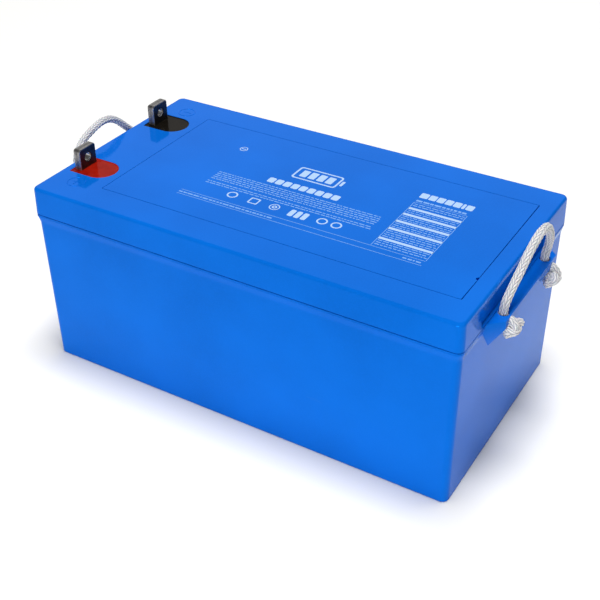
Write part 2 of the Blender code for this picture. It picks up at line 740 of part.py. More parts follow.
# The loops stand up out of the ledge holes: (y, height over the pivot line) along each rope.
LOOP_RIGHT = [(-0.0565, 0.0), (-0.0558, 0.0095), (-0.0482, 0.0190), (-0.0390, 0.0275), (-0.0300, 0.0365),
              (-0.0208, 0.0460), (-0.0095, 0.0528), (0.0040, 0.0566), (0.0195, 0.0541), (0.0310, 0.0475),
              (0.0430, 0.0365), (0.0540, 0.0221), (0.0578, 0.0100), (0.0565, 0.0)]
LEAN_RIGHT = math.radians(8)
LOOP_LEFT = [(-0.0565, 0.0), (-0.0565, 0.014), (-0.053, 0.028), (-0.045, 0.0375), (-0.034, 0.0430),
             (-0.019, 0.0475), (-0.004, 0.0497), (0.011, 0.0472), (0.024, 0.0390), (0.035, 0.0285),
             (0.045, 0.0190), (0.0535, 0.0095), (0.0565, 0.0)]
LEAN_LEFT = math.radians(2)
LEFT_SLACK = 0.008        # the left rope has slid this much further down


def make_loop(name, end, shape, lean, mat):
    """Rope loop; its origin is the swing axis, level with the ends of the rope."""
    pivot = Vector((end * ROPE_HOLE_X, 0.0, PIVOT_Z))
    points = [pivot + Vector((end * height * math.sin(lean), y, height * math.cos(lean)))
              for y, height in shape]
    return rope_tube(name, smooth_path(points, 3), ROPE_R, mat, pivot)


def make_knot(name, end, side, slack, mat):
    """Stopper knot under the ledge with the stretch of rope that runs up through the hole."""
    centre = Vector((end * KNOT_X, side * (ROPE_HOLE_Y - 0.001), KNOT_Z - slack))
    bm = bmesh.new()
    scale = Matrix.Diagonal((*KNOT_SIZE, 1.0))
    bmesh.ops.create_uvsphere(bm, u_segments=14, v_segments=9, radius=1.0,
                              matrix=Matrix.Translation(centre) @ scale)
    mesh = mesh_from(bm, name)
    shade_round(mesh)
    top = Vector((end * ROPE_HOLE_X, side * ROPE_HOLE_Y, LEDGE_TOP + 0.0002))
    obj = add_object(name, mesh, mat, top)
    radius = ROPE_R - 0.0002
    straight = LEDGE_LIP_Z + 0.002 - slack
    x = end * (ROPE_HOLE_X - 0.0004)
    points = [top, Vector((x, top.y, straight)), Vector((x + end * 0.0012, top.y, straight - 0.006)),
              Vector((x + end * 0.005, centre.y, centre.z + 0.0005))]
    boolean(obj, "stem", "UNION", sweep(smooth_path(points, 3), radius, 10))
    tail = [centre, centre + Vector((end * 0.004, 0.0, -0.009)), centre + Vector((end * 0.006, 0.0, -0.0165))]
    boolean(obj, "tail", "UNION", sweep(tail, radius, 10))
    return obj


def sweep(path, radius, sides):
    """Round bar along a path that lies in a plane of constant or nearly constant Y."""
    across = Vector((0.0, 1.0, 0.0))
    rings = []
    for k, point in enumerate(path):
        ahead = path[min(k + 1, len(path) - 1)] - path[max(k - 1, 0)]
        normal = ahead.normalized().cross(across).normalized()
        ring = []
        for j in range(sides):
            turn = 2 * math.pi * j / sides
            ring.append(point + radius * (math.cos(turn) * normal + math.sin(turn) * across))
        rings.append(ring)
    return loft(rings, "sweep")


# --- assembly -----------------------------------------------------------------------------------
def build():
    blue = material("blue_abs", (0.012, 0.155, 0.80), 0.28)
    rubber = material("black_rubber", (0.02, 0.02, 0.022), 0.65)
    lead = material("terminal_lead", (0.16, 0.16, 0.17), 0.42, 0.9)
    cast_lead = material("cast_lead", (0.30, 0.31, 0.33), 0.5, 0.85)
    positive_paste = material("positive_plate", (0.16, 0.075, 0.04), 0.8)
    negative_paste = material("negative_plate", (0.24, 0.25, 0.27), 0.75, 0.2)
    red_epoxy = material("red_epoxy", (0.50, 0.012, 0.008), 0.12)
    black_epoxy = material("black_epoxy", (0.012, 0.011, 0.010), 0.12)
    glass_mat = material("glass_mat", (0.86, 0.86, 0.83), 0.9)
    rope = material("white_rope", (0.80, 0.79, 0.77), 0.75)

    make_container(blue)
    make_lid(blue)
    make_vent_cover(blue)
    for index, cell in enumerate(CELLS, start=1):
        make_valve_cap(index, cell, rubber)
    for name, side, epoxy in (("positive", -1, red_epoxy), ("negative", 1, black_epoxy)):
        make_terminal(f"{name}_terminal", side, lead)
        make_terminal_seal(f"terminal_seal_{name}", side, rubber)
        make_potting(f"{name}_potting", side, epoxy)

    # (side of the strap, way out of the cell) for the positive and the negative group of each cell
    straps = [((-1, "terminal"), (1, "along")), ((-1, "along"), (1, "along")),
              ((-1, "along"), (1, "across")), ((1, "across"), (-1, "along")),
              ((1, "along"), (-1, "along")), ((1, "along"), (-1, "terminal"))]
    for index, (cell, (positive, negative)) in enumerate(zip(CELLS, straps), start=1):
        make_plate_group(f"positive_plates_{index}", cell, "positive", *positive, positive_paste)
        make_plate_group(f"negative_plates_{index}", cell, "negative", *negative, negative_paste)
        make_separator(f"separator_{index}", cell, glass_mat)
    make_welds(cast_lead)

    make_loop("rope_handle_right", 1, LOOP_RIGHT, LEAN_RIGHT, rope)
    make_loop("rope_handle_left", -1, LOOP_LEFT, LEAN_LEFT, rope)
    for end, slack, label in ((1, 0.0, "right"), (-1, LEFT_SLACK, "left")):
        for side, place in ((-1, "front"), (1, "rear")):
            make_knot(f"rope_knot_{label}_{place}", end, side, slack, rope)


for old in list(bpy.data.objects):
    bpy.data.objects.remove(old)
build()
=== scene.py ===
"""Looks for the deep cycle battery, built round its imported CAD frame. Metres, +Z up."""

import math
import random

import bmesh
import bpy
import numpy as np
from mathutils import Matrix, Vector


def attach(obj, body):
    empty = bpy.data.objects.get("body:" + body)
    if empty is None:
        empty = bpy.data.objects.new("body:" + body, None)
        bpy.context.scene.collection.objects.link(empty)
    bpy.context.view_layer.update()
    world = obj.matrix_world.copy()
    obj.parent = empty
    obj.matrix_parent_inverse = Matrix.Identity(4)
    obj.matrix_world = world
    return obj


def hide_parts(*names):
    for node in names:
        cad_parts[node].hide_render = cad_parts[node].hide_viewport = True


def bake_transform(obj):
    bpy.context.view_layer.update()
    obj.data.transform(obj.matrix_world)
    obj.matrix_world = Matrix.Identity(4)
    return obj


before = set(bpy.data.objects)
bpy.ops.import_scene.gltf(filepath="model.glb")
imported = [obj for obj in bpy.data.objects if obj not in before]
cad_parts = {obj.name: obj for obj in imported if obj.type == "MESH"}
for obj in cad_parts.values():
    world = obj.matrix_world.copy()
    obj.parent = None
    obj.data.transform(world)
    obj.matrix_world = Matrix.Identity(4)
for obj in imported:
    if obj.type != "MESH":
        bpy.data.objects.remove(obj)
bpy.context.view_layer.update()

# --- dimensions shared with the CAD ----------
LENGTH, WIDTH = 0.521, 0.283
LID_TOP, SEAM, TERMINAL_TOP = 0.2268, 0.1938, 0.2512
GAP = 0.0003
CORNER_R = 0.008
LID_DRAFT = 0.0008
LID_EDGE_R = 0.0035
RIM_FLARE, RIM_HEIGHT, WALL_DRAFT, BASE_EDGE_R = 0.0018, 0.010, 0.0010, 0.0016
CAVITY_X, CAVITY_Y, FLOOR, PARTITION, TONGUE = 0.2512, 0.1322, 0.006, 0.004, 0.003
WALL_TOP, LID_UNDERSIDE = 0.216, 0.2185
COVER_CENTRE_X, COVER_X, COVER_Y = 0.025, 0.215, 0.102
COVER_GAP, COVER_THICKNESS, COVER_RECESS = 0.0005, 0.003, 0.0033
NOTCH_Y, NOTCH_R = -0.062, 0.0028
WELL_R, WELL_FLOOR, NOZZLE_R, NOZZLE_BORE_R, NOZZLE_TOP = 0.018, 0.213, 0.0065, 0.0035, 0.2205
POCKET_Y, POCKET_R, POCKET_END_X, POCKET_ROUND_X, POCKET_DEPTH = 0.0681, 0.0199, -0.2495, -0.2196, 0.006
POTTING_DROP = 0.0010
FLAG_X, FLAG_THICKNESS, FLAG_WIDTH, FLAG_CORNER_R = -0.2415, 0.009, 0.027, 0.003
BOLT_Z, BOLT_R = 0.2385, 0.0063
LEDGE_TOP, LEDGE_X, LEDGE_Y, LEDGE_ROOT_Y = 0.1933, 0.275, 0.069, 0.085
LEDGE_LIP_Z, LEDGE_TIP_Z, LEDGE_TIP_Y, LEDGE_SKIN = 0.184, 0.157, 0.067, 0.003
RECESS_DEPTH, RECESS_TOP, RECESS_TOP_Y, RECESS_BOTTOM_Y, RECESS_CORNER_R = 0.0035, 0.2195, 0.105, 0.094, 0.008
ROPE_R, ROPE_HOLE_X, ROPE_HOLE_Y, ROPE_HOLE_R = 0.00475, 0.267, 0.0565, 0.0057
PIVOT_Z = LEDGE_TOP + 0.0055
POST_X, POST_R, POST_FOOT, POST_HEAD = -0.236, 0.007, 0.2013, 0.2222
CELL_X = (2 * CAVITY_X - 2 * PARTITION) / 3
CELL_Y = (2 * CAVITY_Y - PARTITION) / 2
CELLS = [(c, r) for r in (-1, 1) for c in (-1, 0, 1)]

# --- sizes that only the looks have ----------
SEAM_GAP = 2 * GAP                # dark line between the lid and the container
RECESS_SHORT = 0.018              # each end's recess stops this much sooner on one side
BORE_R, BORE_EDGE = BOLT_R - 0.0012, 0.0007   # clean bore of the bolt hole and its dark chamfer
BEAD_HEIGHT = 0.00045             # relief of the polarity marks
PRINT_Z = LID_TOP + 0.00005       # the printed marks lie just above the cover
CORNER_STEPS = 12


def cell_centre(column, row):
    return column * (CELL_X + PARTITION), row * (CELL_Y + PARTITION) / 2


# --- camera ----------
AZIMUTH, ELEVATION, ROLL = math.radians(31.271), math.radians(34.610), math.radians(-0.602)
LENS_MM, CAMERA_PLACE = 64.32, (0.53829, -0.88326, 0.79557)
back = Vector((math.sin(AZIMUTH) * math.cos(ELEVATION), -math.cos(AZIMUTH) * math.cos(ELEVATION),
               math.sin(ELEVATION)))
right = Vector((math.cos(AZIMUTH), math.sin(AZIMUTH), 0.0))
up = back.cross(right)
rolled_right = math.cos(ROLL) * right + math.sin(ROLL) * up
rolled_up = math.cos(ROLL) * up - math.sin(ROLL) * right
cam = bpy.data.objects.new("camera", bpy.data.cameras.new("camera"))
bpy.context.scene.collection.objects.link(cam)
cam.data.lens = LENS_MM
cam.data.sensor_width = 36.0
cam.data.clip_start = 0.05
cam.matrix_world = Matrix((rolled_right, rolled_up, back)).transposed().to_4x4()
cam.location = CAMERA_PLACE
bpy.context.scene.camera = cam


# --- mesh helpers ----------
def piece(name, bm, mats, body, slot, *nodes, sharp=32, flat=False):
    """An object from bm that rides on a body, takes the materials mats and stands for CAD nodes. The slot
    argument is not used.
    With flat, its large faces keep their own normals beside rounded edges."""
    bmesh.ops.remove_doubles(bm, verts=bm.verts, dist=1e-7)
    mesh = bpy.data.meshes.new(name)
    bm.to_mesh(mesh)
    bm.free()
    obj = bpy.data.objects.new(name, mesh)
    bpy.context.scene.collection.objects.link(obj)
    for mat in mats if isinstance(mats, (list, tuple)) else [mats]:
        mesh.materials.append(mat)
    mesh.shade_smooth()
    mesh.set_sharp_from_angle(angle=math.radians(sharp))
    if flat:
        normals = obj.modifiers.new("flat_faces", "WEIGHTED_NORMAL")
        normals.keep_sharp = True
    if body:
        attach(obj, body)
    if nodes:
        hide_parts(*nodes)
    return obj


def row_of(bm, points):
    return [bm.verts.new(p) for p in points]


def bridge(bm, a, b, closed=True, mat=0):
    n = len(a)
    for k in range(n if closed else n - 1):
        m = (k + 1) % n
        face = bm.faces.new((a[k], a[m], b[m], b[k]))
        face.material_index = mat


def bridge_all(bm, rows, closed=True, mat=0):
    for a, b in zip(rows, rows[1:]):
        bridge(bm, a, b, closed, mat)


def loop_edges(bm, row):
    edges = []
    for k, vert in enumerate(row):
        other = row[(k + 1) % len(row)]
        edges.append(bm.edges.get((vert, other)) or bm.edges.new((vert, other)))
    return edges


def fill(bm, rows, normal):
    """Flat face with holes: rows are its outer loop and the loops inside it."""
    edges = [edge for row in rows for edge in loop_edges(bm, row)]
    bmesh.ops.triangle_fill(bm, use_beauty=True, edges=edges, normal=normal)


def rounded(half_x, half_y, radius, steps, centre=(0.0, 0.0)):
    points = []
    for quarter, (sx, sy) in enumerate(((1, 1), (-1, 1), (-1, -1), (1, -1))):
        for k in range(steps + 1):
            angle = (quarter + k / steps) * math.pi / 2
            points.append((centre[0] + sx * (half_x - radius) + radius * math.cos(angle),
                           centre[1] + sy * (half_y - radius) + radius * math.sin(angle)))
    return points


def circle(cx, cy, radius, sides):
    return [(cx + radius * math.cos(k * 2 * math.pi / sides),
             cy + radius * math.sin(k * 2 * math.pi / sides)) for k in range(sides)]


def normals_of(outline):
    """Outward unit normals of a closed anticlockwise outline, mitred at its corners."""
    p = np.array(outline)
    ahead = np.roll(p, -1, axis=0) - p
    ahead /= np.linalg.norm(ahead, axis=1)[:, None]
    behind = np.roll(ahead, 1, axis=0)
    side = np.stack((ahead[:, 1], -ahead[:, 0]), axis=1)
    other = np.stack((behind[:, 1], -behind[:, 0]), axis=1)
    mean = side + other
    return mean / (1 + (side * other).sum(1))[:, None]


def grown(outline, offset):
    return [tuple(p) for p in np.array(outline) + normals_of(outline) * offset]


def arc(steps, start, end):
    """(cos, sin) pairs from one angle to another, in degrees."""
    return [(math.cos(math.radians(start + (end - start) * k / steps)),
             math.sin(math.radians(start + (end - start) * k / steps))) for k in range(steps + 1)]


def lathe(bm, profile, x, y, sides=40):
    """Turns an open line of (radius, z) points about the vertical at (x, y)."""
    rows = [row_of(bm, [(px, py, z) for px, py in circle(x, y, radius, sides)])
            for radius, z in profile]
    bridge_all(bm, rows)
    return rows


def box(bm, low, high):
    a, b = Vector(low), Vector(high)
    corners = [bm.verts.new((x, y, z)) for z in (a.z, b.z) for x, y in
               ((a.x, a.y), (b.x, a.y), (b.x, b.y), (a.x, b.y))]
    for k in ((3, 2, 1, 0), (4, 5, 6, 7), (0, 1, 5, 4), (1, 2, 6, 5), (2, 3, 7, 6), (3, 0, 4, 7)):
        bm.faces.new([corners[i] for i in k])


def face_outwards(bm):
    bmesh.ops.recalc_face_normals(bm, faces=bm.faces)


# --- materials ----------
class Shader:
    """A Principled material with helpers for its nodes. Textures run in the object's metres."""

    def __init__(self, name, colour, roughness, metallic=0.0):
        self.mat = bpy.data.materials.new(name)
        self.mat.use_nodes = True
        self.nodes = self.mat.node_tree.nodes
        self.links = self.mat.node_tree.links
        self.bsdf = self.nodes["Principled BSDF"]
        self.set("Base Color", (*colour, 1.0))
        self.set("Roughness", roughness)
        self.set("Metallic", metallic)
        self.coord = self.nodes.new("ShaderNodeTexCoord").outputs["Object"]
        self.height = None

    def set(self, socket, value):
        self.bsdf.inputs[socket].default_value = value

    def node(self, kind, **inputs):
        made = self.nodes.new(kind)
        for name, value in inputs.items():
            socket = made.inputs[name.replace("_", " ")]
            if isinstance(value, bpy.types.NodeSocket):
                self.links.new(value, socket)
            else:
                socket.default_value = value
        return made

    def scaled(self, scale, source=None):
        made = self.node("ShaderNodeMapping", Vector=source or self.coord)
        made.inputs["Scale"].default_value = scale
        return made.outputs["Vector"]

    def noise(self, scale, detail=2.0, roughness=0.5, source=None, distortion=0.0):
        made = self.node("ShaderNodeTexNoise", Vector=source or self.coord, Scale=scale,
                         Detail=detail, Roughness=roughness, Distortion=distortion)
        return made.outputs["Fac"]

    def span(self, value, low, high, to_low=0.0, to_high=1.0):
        made = self.node("ShaderNodeMapRange", Value=value, From_Min=low, From_Max=high,
                         To_Min=to_low, To_Max=to_high)
        return made.outputs["Result"]

    def mix(self, factor, a, b):
        made = self.nodes.new("ShaderNodeMix")
        made.data_type = "RGBA"
        for socket, value in ((made.inputs[0], factor), (made.inputs[6], a), (made.inputs[7], b)):
            if isinstance(value, bpy.types.NodeSocket):
                self.links.new(value, socket)
            elif isinstance(value, tuple):
                socket.default_value = (*value, 1.0)
            else:
                socket.default_value = value
        return made.outputs[2]

    def math(self, operation, a, b=0.0):
        made = self.nodes.new("ShaderNodeMath")
        made.operation = operation
        for socket, value in zip(made.inputs, (a, b)):
            if isinstance(value, bpy.types.NodeSocket):
                self.links.new(value, socket)
            else:
                socket.default_value = value
        return made.outputs[0]

    def attribute(self, name):
        made = self.nodes.new("ShaderNodeAttribute")
        made.attribute_name = name
        return made.outputs["Fac"]

    def drive(self, socket, output):
        self.links.new(output, self.bsdf.inputs[socket])

    def bump(self, height, distance, strength=1.0):
        """Adds a layer of relief, distance metres high at full height."""
        made = self.node("ShaderNodeBump", Height=height, Strength=strength, Distance=distance)
        if self.height is not None:
            self.links.new(self.height, made.inputs["Normal"])
        self.height = made.outputs["Normal"]
        self.links.new(self.height, self.bsdf.inputs["Normal"])


def blue_plastic(name, colour=(0.0015, 0.146, 0.68), gloss=0.065):
    """Moulded ABS: cloudy tone, fine specks and faint scuffs both ways. Being partly metallic and
    tinted, it reflects in its own blue."""
    s = Shader(name, colour, gloss, 0.18)
    s.set("Specular IOR Level", 0.10)
    deep = tuple(c * 0.90 for c in colour)
    pale = (colour[0] * 1.3, colour[1] * 1.06, min(1.0, colour[2] * 1.04))
    cloud = s.span(s.noise(7.0, 3.0), 0.35, 0.65)
    speck = s.span(s.noise(520.0, 2.0, 0.6), 0.42, 0.72, 0.0, 0.35)
    tone = s.mix(cloud, deep, pale)
    tone = s.mix(speck, tone, tuple(min(1.0, c * 1.10 + 0.002) for c in colour))
    scratch_a = s.noise(1.0, 3.0, 0.6, s.scaled((14.0, 900.0, 60.0)))
    scratch_b = s.noise(1.0, 3.0, 0.6, s.scaled((820.0, 11.0, 40.0)))
    scuffs = s.math("MAXIMUM", s.span(scratch_a, 0.70, 0.78), s.span(scratch_b, 0.71, 0.79))
    s.drive("Base Color", s.mix(s.math("MULTIPLY", scuffs, 0.10), tone, (0.06, 0.20, 0.62)))
    rough = s.span(s.noise(23.0, 4.0, 0.6), 0.3, 0.7, gloss * 0.85, gloss * 1.2)
    s.drive("Roughness", s.math("ADD", rough, s.math("MULTIPLY", scuffs, 0.10)))
    s.set("Specular Tint", (0.10, 0.55, 1.0, 1.0))
    s.bump(s.noise(9.0, 1.0), 0.0004, 0.25)
    s.bump(s.noise(1100.0, 2.0, 0.55), 0.00002, 0.25)
    s.bump(scuffs, 0.00003, 0.4)
    return s.mat


def epoxy(name, deep, pale, tint):
    """Poured resin: glossy and slightly uneven, with a little dust."""
    s = Shader(name, pale, 0.07)
    s.set("Specular IOR Level", 0.05)
    s.set("Specular Tint", tint)
    s.drive("Base Color", s.mix(s.span(s.noise(60.0, 3.0), 0.35, 0.7), deep, pale))
    s.drive("Roughness", s.span(s.noise(140.0, 3.0), 0.3, 0.75, 0.04, 0.14))
    s.bump(s.noise(45.0, 1.0), 0.0004, 0.2)
    dust = s.span(s.noise(1500.0, 1.0), 0.72, 0.80)
    s.bump(dust, 0.00005, 0.5)
    return s.mat


def lead(name, dark, bright, worn, rough=(0.34, 0.62)):
    """Dull cast lead; the attribute edge is 1 where handling has rubbed it bright."""
    s = Shader(name, dark, 0.45, 0.85)
    blotch = s.span(s.noise(160.0, 5.0, 0.6), 0.35, 0.68)
    tone = s.mix(blotch, dark, bright)
    grain = s.noise(1.0, 3.0, 0.6, s.scaled((1500.0, 1500.0, 240.0)))
    patches = s.span(s.noise(420.0, 3.0, 0.7), 0.30, 0.62, 0.35, 1.0)
    rub = s.math("MULTIPLY", s.attribute("edge"), patches)
    s.drive("Base Color", s.mix(rub, tone, worn))
    s.drive("Roughness", s.span(blotch, 0.0, 1.0, rough[1], rough[0]))
    s.bump(s.noise(320.0, 4.0, 0.6), 0.00022, 0.6)
    s.bump(grain, 0.00006, 0.5)
    return s.mat


def rope_yarn(name):
    """Plaited polyester: groove is the depth between stitches and strand runs across filaments. The grooves
    are painted a darker bluish grey as shade.
    """
    s = Shader(name, (0.86, 0.85, 0.82), 0.55)
    depth = s.attribute("groove")
    crown = s.mix(s.span(s.noise(95.0, 3.0), 0.35, 0.7), (0.93, 0.92, 0.90), (0.86, 0.85, 0.82))
    # painted shade: the deeper into the grooves between stitches, the more the colour goes towards a bluish
    # grey
    shade = s.mix(s.span(depth, 0.32, 0.90), crown, (0.25, 0.27, 0.36))
    fibre = s.node("ShaderNodeTexWave", Vector=s.node(
        "ShaderNodeCombineXYZ", X=s.attribute("strand")).outputs["Vector"], Scale=1.0, Distortion=0.6,
        Detail=2.0, Detail_Scale=2.0).outputs["Fac"]
    s.drive("Base Color", s.mix(s.span(fibre, 0.0, 0.5, 0.12, 0.0), shade, (0.50, 0.50, 0.55)))
    s.drive("Roughness", s.span(s.noise(400.0), 0.3, 0.7, 0.42, 0.62))
    s.set("Sheen Weight", 0.25)
    s.set("Sheen Roughness", 0.4)
    s.set("Subsurface Weight", 0.06)
    s.set("Subsurface Scale", 0.002)
    s.bump(fibre, 0.00012, 0.7)
    s.bump(s.noise(2600.0, 2.0), 0.00005, 0.5)
    return s.mat


def rubber(name):
    s = Shader(name, (0.02, 0.02, 0.022), 0.6)
    bloom = s.span(s.noise(220.0, 4.0), 0.4, 0.7)
    s.drive("Base Color", s.mix(bloom, (0.014, 0.014, 0.015), (0.040, 0.040, 0.044)))
    s.drive("Roughness", s.span(s.noise(500.0), 0.3, 0.7, 0.5, 0.75))
    s.bump(s.noise(1400.0, 2.0), 0.00006, 0.6)
    return s.mat


def paste(name, dark, pale, metallic):
    """Plate paste in its cast grid: cells about 9 by 6 mm with the paste sunk between the wires."""
    s = Shader(name, pale, 0.8, metallic)
    made = s.nodes.new("ShaderNodeTexBrick")
    made.offset = 0.5
    turned = s.node("ShaderNodeMapping", Vector=s.coord)
    turned.inputs["Rotation"].default_value = (math.radians(-90), 0.0, 0.0)
    s.links.new(turned.outputs["Vector"], made.inputs["Vector"])
    for socket, value in (("Scale", 110.0), ("Mortar Size", 0.06), ("Mortar Smooth", 0.6),
                          ("Brick Width", 1.0), ("Row Height", 0.66)):
        made.inputs[socket].default_value = value
    grain = s.span(s.noise(700.0, 4.0, 0.7), 0.35, 0.7)
    tone = s.mix(grain, dark, pale)
    wire = s.mix(0.5, pale, (0.42, 0.43, 0.45))
    s.drive("Base Color", s.mix(made.outputs["Fac"], tone, wire))
    s.drive("Roughness", s.span(grain, 0.0, 1.0, 0.95, 0.7))
    s.bump(made.outputs["Fac"], 0.0003, 0.7)
    s.bump(grain, 0.0001, 0.6)
    return s.mat


def glass_mat(name):
    """Pressed glass fibre, streaked along its fibres."""
    s = Shader(name, (0.86, 0.86, 0.83), 0.9)
    fibre = s.noise(1.0, 4.0, 0.7, s.scaled((300.0, 2200.0, 900.0)), 0.6)
    s.drive("Base Color", s.mix(s.span(fibre, 0.35, 0.65), (0.72, 0.72, 0.69), (0.90, 0.90, 0.87)))
    s.drive("Roughness", s.span(fibre, 0.3, 0.7, 0.98, 0.82))
    s.bump(fibre, 0.00015, 0.8)
    return s.mat


def ink(name, colour):
    """Screen-printed marks, thin and slightly worn, so that a little of the blue shows."""
    s = Shader(name, colour, 0.4)
    wear = s.span(s.noise(900.0, 4.0, 0.7), 0.60, 0.78, 0.0, 0.55)
    s.drive("Base Color", s.mix(wear, colour, (0.10, 0.27, 0.80)))
    s.drive("Roughness", s.span(s.noise(300.0), 0.3, 0.7, 0.30, 0.45))
    s.set("Specular IOR Level", 0.25)
    s.bump(s.noise(1600.0, 2.0), 0.00002, 0.5)
    return s.mat


BLUE = blue_plastic("blue_case")
BLUE_COVER = blue_plastic("blue_cover")
RED = epoxy("red_epoxy", (0.25, 0.006, 0.002), (0.34, 0.012, 0.004), (1.0, 0.35, 0.15, 1.0))
BLACK = epoxy("black_epoxy", (0.005, 0.004, 0.003), (0.010, 0.008, 0.006), (1.0, 0.75, 0.50, 1.0))
LEAD = lead("terminal_lead", (0.016, 0.015, 0.016), (0.070, 0.064, 0.060), (0.42, 0.41, 0.40), (0.20, 0.42))
BORE = lead("clean_bore", (0.42, 0.41, 0.40), (0.72, 0.71, 0.69), (0.7, 0.7, 0.7), (0.16, 0.30))
CAST = lead("cast_lead", (0.20, 0.205, 0.22), (0.34, 0.345, 0.36), (0.45, 0.45, 0.46))
ROPE = rope_yarn("white_plait")
RUBBER = rubber("black_rubber")
POSITIVE = paste("positive_paste", (0.085, 0.036, 0.020), (0.17, 0.085, 0.050), 0.0)
NEGATIVE = paste("negative_paste", (0.14, 0.145, 0.16), (0.26, 0.265, 0.28), 0.15)
MAT = glass_mat("fibre_mat")
INK = ink("white_ink", (0.40, 0.57, 0.84))
FINE_INK = ink("fine_white_ink", (0.17, 0.37, 0.78))


# --- rope handles ----------
def curve_through(points, step):
    """Evenly spaced points, step apart, on a Catmull-Rom curve through points."""
    p = np.array([tuple(q) for q in points])
    p = np.vstack((2 * p[0] - p[1], p, 2 * p[-1] - p[-2]))
    t = np.linspace(0, 1, 33)[:-1, None]
    dense = []
    for a, b, c, d in zip(p, p[1:], p[2:], p[3:]):
        dense.append(0.5 * (2 * b + (c - a) * t + (2 * a - 5 * b + 4 * c - d) * t ** 2
                            + (3 * b - a - 3 * c + d) * t ** 3))
    dense = np.vstack(dense + [p[-2][None]])
    along = np.concatenate(([0], np.cumsum(np.linalg.norm(np.diff(dense, axis=0), axis=1))))
    count = max(8, int(round(along[-1] / step)))
    places = np.linspace(0, along[-1], count + 1)
    return np.stack([np.interp(places, along, dense[:, k]) for k in range(3)], axis=1), along[-1]


def frames_along(path):
    """Tangents and two directions across them that turn as little as they can along the path."""
    tangent = np.gradient(path, axis=0)
    tangent /= np.linalg.norm(tangent, axis=1)[:, None]
    start = np.array((0.0, 1.0, 0.2))
    normal = start - tangent[0] * (start @ tangent[0])
    normals = [normal / np.linalg.norm(normal)]
    for t in tangent[1:]:
        n = normals[-1] - t * (normals[-1] @ t)
        normals.append(n / np.linalg.norm(n))
    normals = np.array(normals)
    return tangent, normals, np.cross(tangent, normals)


COLUMNS = 8                # columns of stitches round the rope
STITCH = 0.0056            # pitch of the stitches along the rope
SLANT = 1.2                # how far a stitch rises across its column, in stitches
TWIST = 9.0                # radians that the columns turn in one metre
VALLEY, CROWN, UNEVEN = 0.80, 0.185, 0.03   # depth of the stitches, in parts of the rope's radius
YARN_R = 0.00035
PATH_STEP, KNOT_STEP, YARN_STEP = 0.00042, 0.0005, 0.0004


def braid(bm, path, length, radius, sides, layers, turn=0.0, taper=0.0, seed=0):
    """Adds a plaited rope's surface along path, with closed ends, to bm."""
    rng = np.random.default_rng(seed)
    tangent, across, other = frames_along(path)
    angles = np.arange(sides) / sides * 2 * math.pi
    s = np.linspace(0.0, length, len(path))[:, None]
    u = ((angles[None, :] + turn + s * TWIST) / (2 * math.pi) * COLUMNS) % COLUMNS
    column = np.floor(u)
    x = u - column
    sign = np.where(column % 2 == 0, 1.0, -1.0)
    v = s / STITCH + sign * (x - 0.5) * SLANT + 0.5 * (column % 2)
    w = v - np.floor(v)
    stitch = np.floor(v) * 13.7 + column * 7.3
    loose = np.sin(stitch * 12.9898) * 43758.5453
    loose = loose - np.floor(loose)
    rise = (np.sin(math.pi * x) ** 0.50) * (np.sin(math.pi * w) ** 0.85)
    bulk = radius * (VALLEY + CROWN * rise + UNEVEN * (loose - 0.5))
    wobble = 1 + 0.012 * np.sin(s * 310 + seed) + 0.01 * rng.standard_normal()
    bulk = bulk * wobble
    if taper:
        ends = np.minimum(s, length - s) / taper
        bulk = bulk * np.sqrt(np.clip(1 - (1 - np.clip(ends, 0, 1)) ** 2, 0.02, 1))
    rows = []
    for i in range(len(path)):
        ring = []
        for j in range(sides):
            direction = math.cos(angles[j]) * across[i] + math.sin(angles[j]) * other[i]
            vert = bm.verts.new(path[i] + direction * bulk[i, j])
            # groove is the depth between stitches; the yarn's finish paints it as shade
            vert[layers[0]] = 1.0 - rise[i, j]
            vert[layers[1]] = (x[i, j] * 0.9 - sign[i, j] * w[i, j] * 0.55) * 14.0
            ring.append(vert)
        rows.append(ring)
    bridge_all(bm, rows)
    for row, place, outward in ((rows[0], path[0], -tangent[0]), (rows[-1], path[-1], tangent[-1])):
        centre = bm.verts.new(place + outward * radius * 0.25)
        centre[layers[0]] = 0.5
        for k in range(sides):
            bm.faces.new((row[k], row[(k + 1) % sides], centre))


def rope_layers(bm):
    return bm.verts.layers.float.new("groove"), bm.verts.layers.float.new("strand")


def snag(bm, layers, path):
    """A single pulled yarn."""
    points, _ = curve_through(path, YARN_STEP)
    _, across, other = frames_along(points)
    rows = []
    for i, place in enumerate(points):
        ring = []
        for j in range(6):
            a = j * math.pi / 3
            vert = bm.verts.new(place + (math.cos(a) * across[i] + math.sin(a) * other[i]) * YARN_R)
            vert[layers[0]] = 0.2
            ring.append(vert)
        rows.append(ring)
    bridge_all(bm, rows)


# Each loop from its front hole to its rear one: distance along Y, then height above the swing axis.
LOOP_RIGHT = [(-0.0565, 0.0), (-0.0558, 0.0095), (-0.0482, 0.0190), (-0.0390, 0.0275), (-0.0300, 0.0365),
              (-0.0208, 0.0460), (-0.0095, 0.0528), (0.0040, 0.0566), (0.0195, 0.0541), (0.0310, 0.0475),
              (0.0430, 0.0365), (0.0540, 0.0221), (0.0578, 0.0100), (0.0565, 0.0)]
LOOP_LEFT = [(-0.0565, 0.0), (-0.0565, 0.014), (-0.053, 0.028), (-0.045, 0.0375), (-0.034, 0.0430),
             (-0.019, 0.0475), (-0.004, 0.0497), (0.011, 0.0472), (0.024, 0.0390), (0.035, 0.0285),
             (0.045, 0.0190), (0.0535, 0.0095), (0.0565, 0.0)]
LEAN_RIGHT, LEAN_LEFT = math.radians(8), math.radians(2)
ROPE_BELOW_PIVOT = 0.0085         # the loop goes on this far down into its holes
LEFT_SLACK = 0.008                # the left rope hangs this much lower in its holes
KNOT_X, KNOT_Z, KNOT_SIZE = 0.278, 0.1732, 0.0023
KNOT_X_SHIFT = {"right": 0.0010, "left": 0.0045}   # towards the wall
KNOT_LIFT = {"right_front": 0.0080, "right_rear": 0.0010, "left_front": 0.0, "left_rear": 0.0}
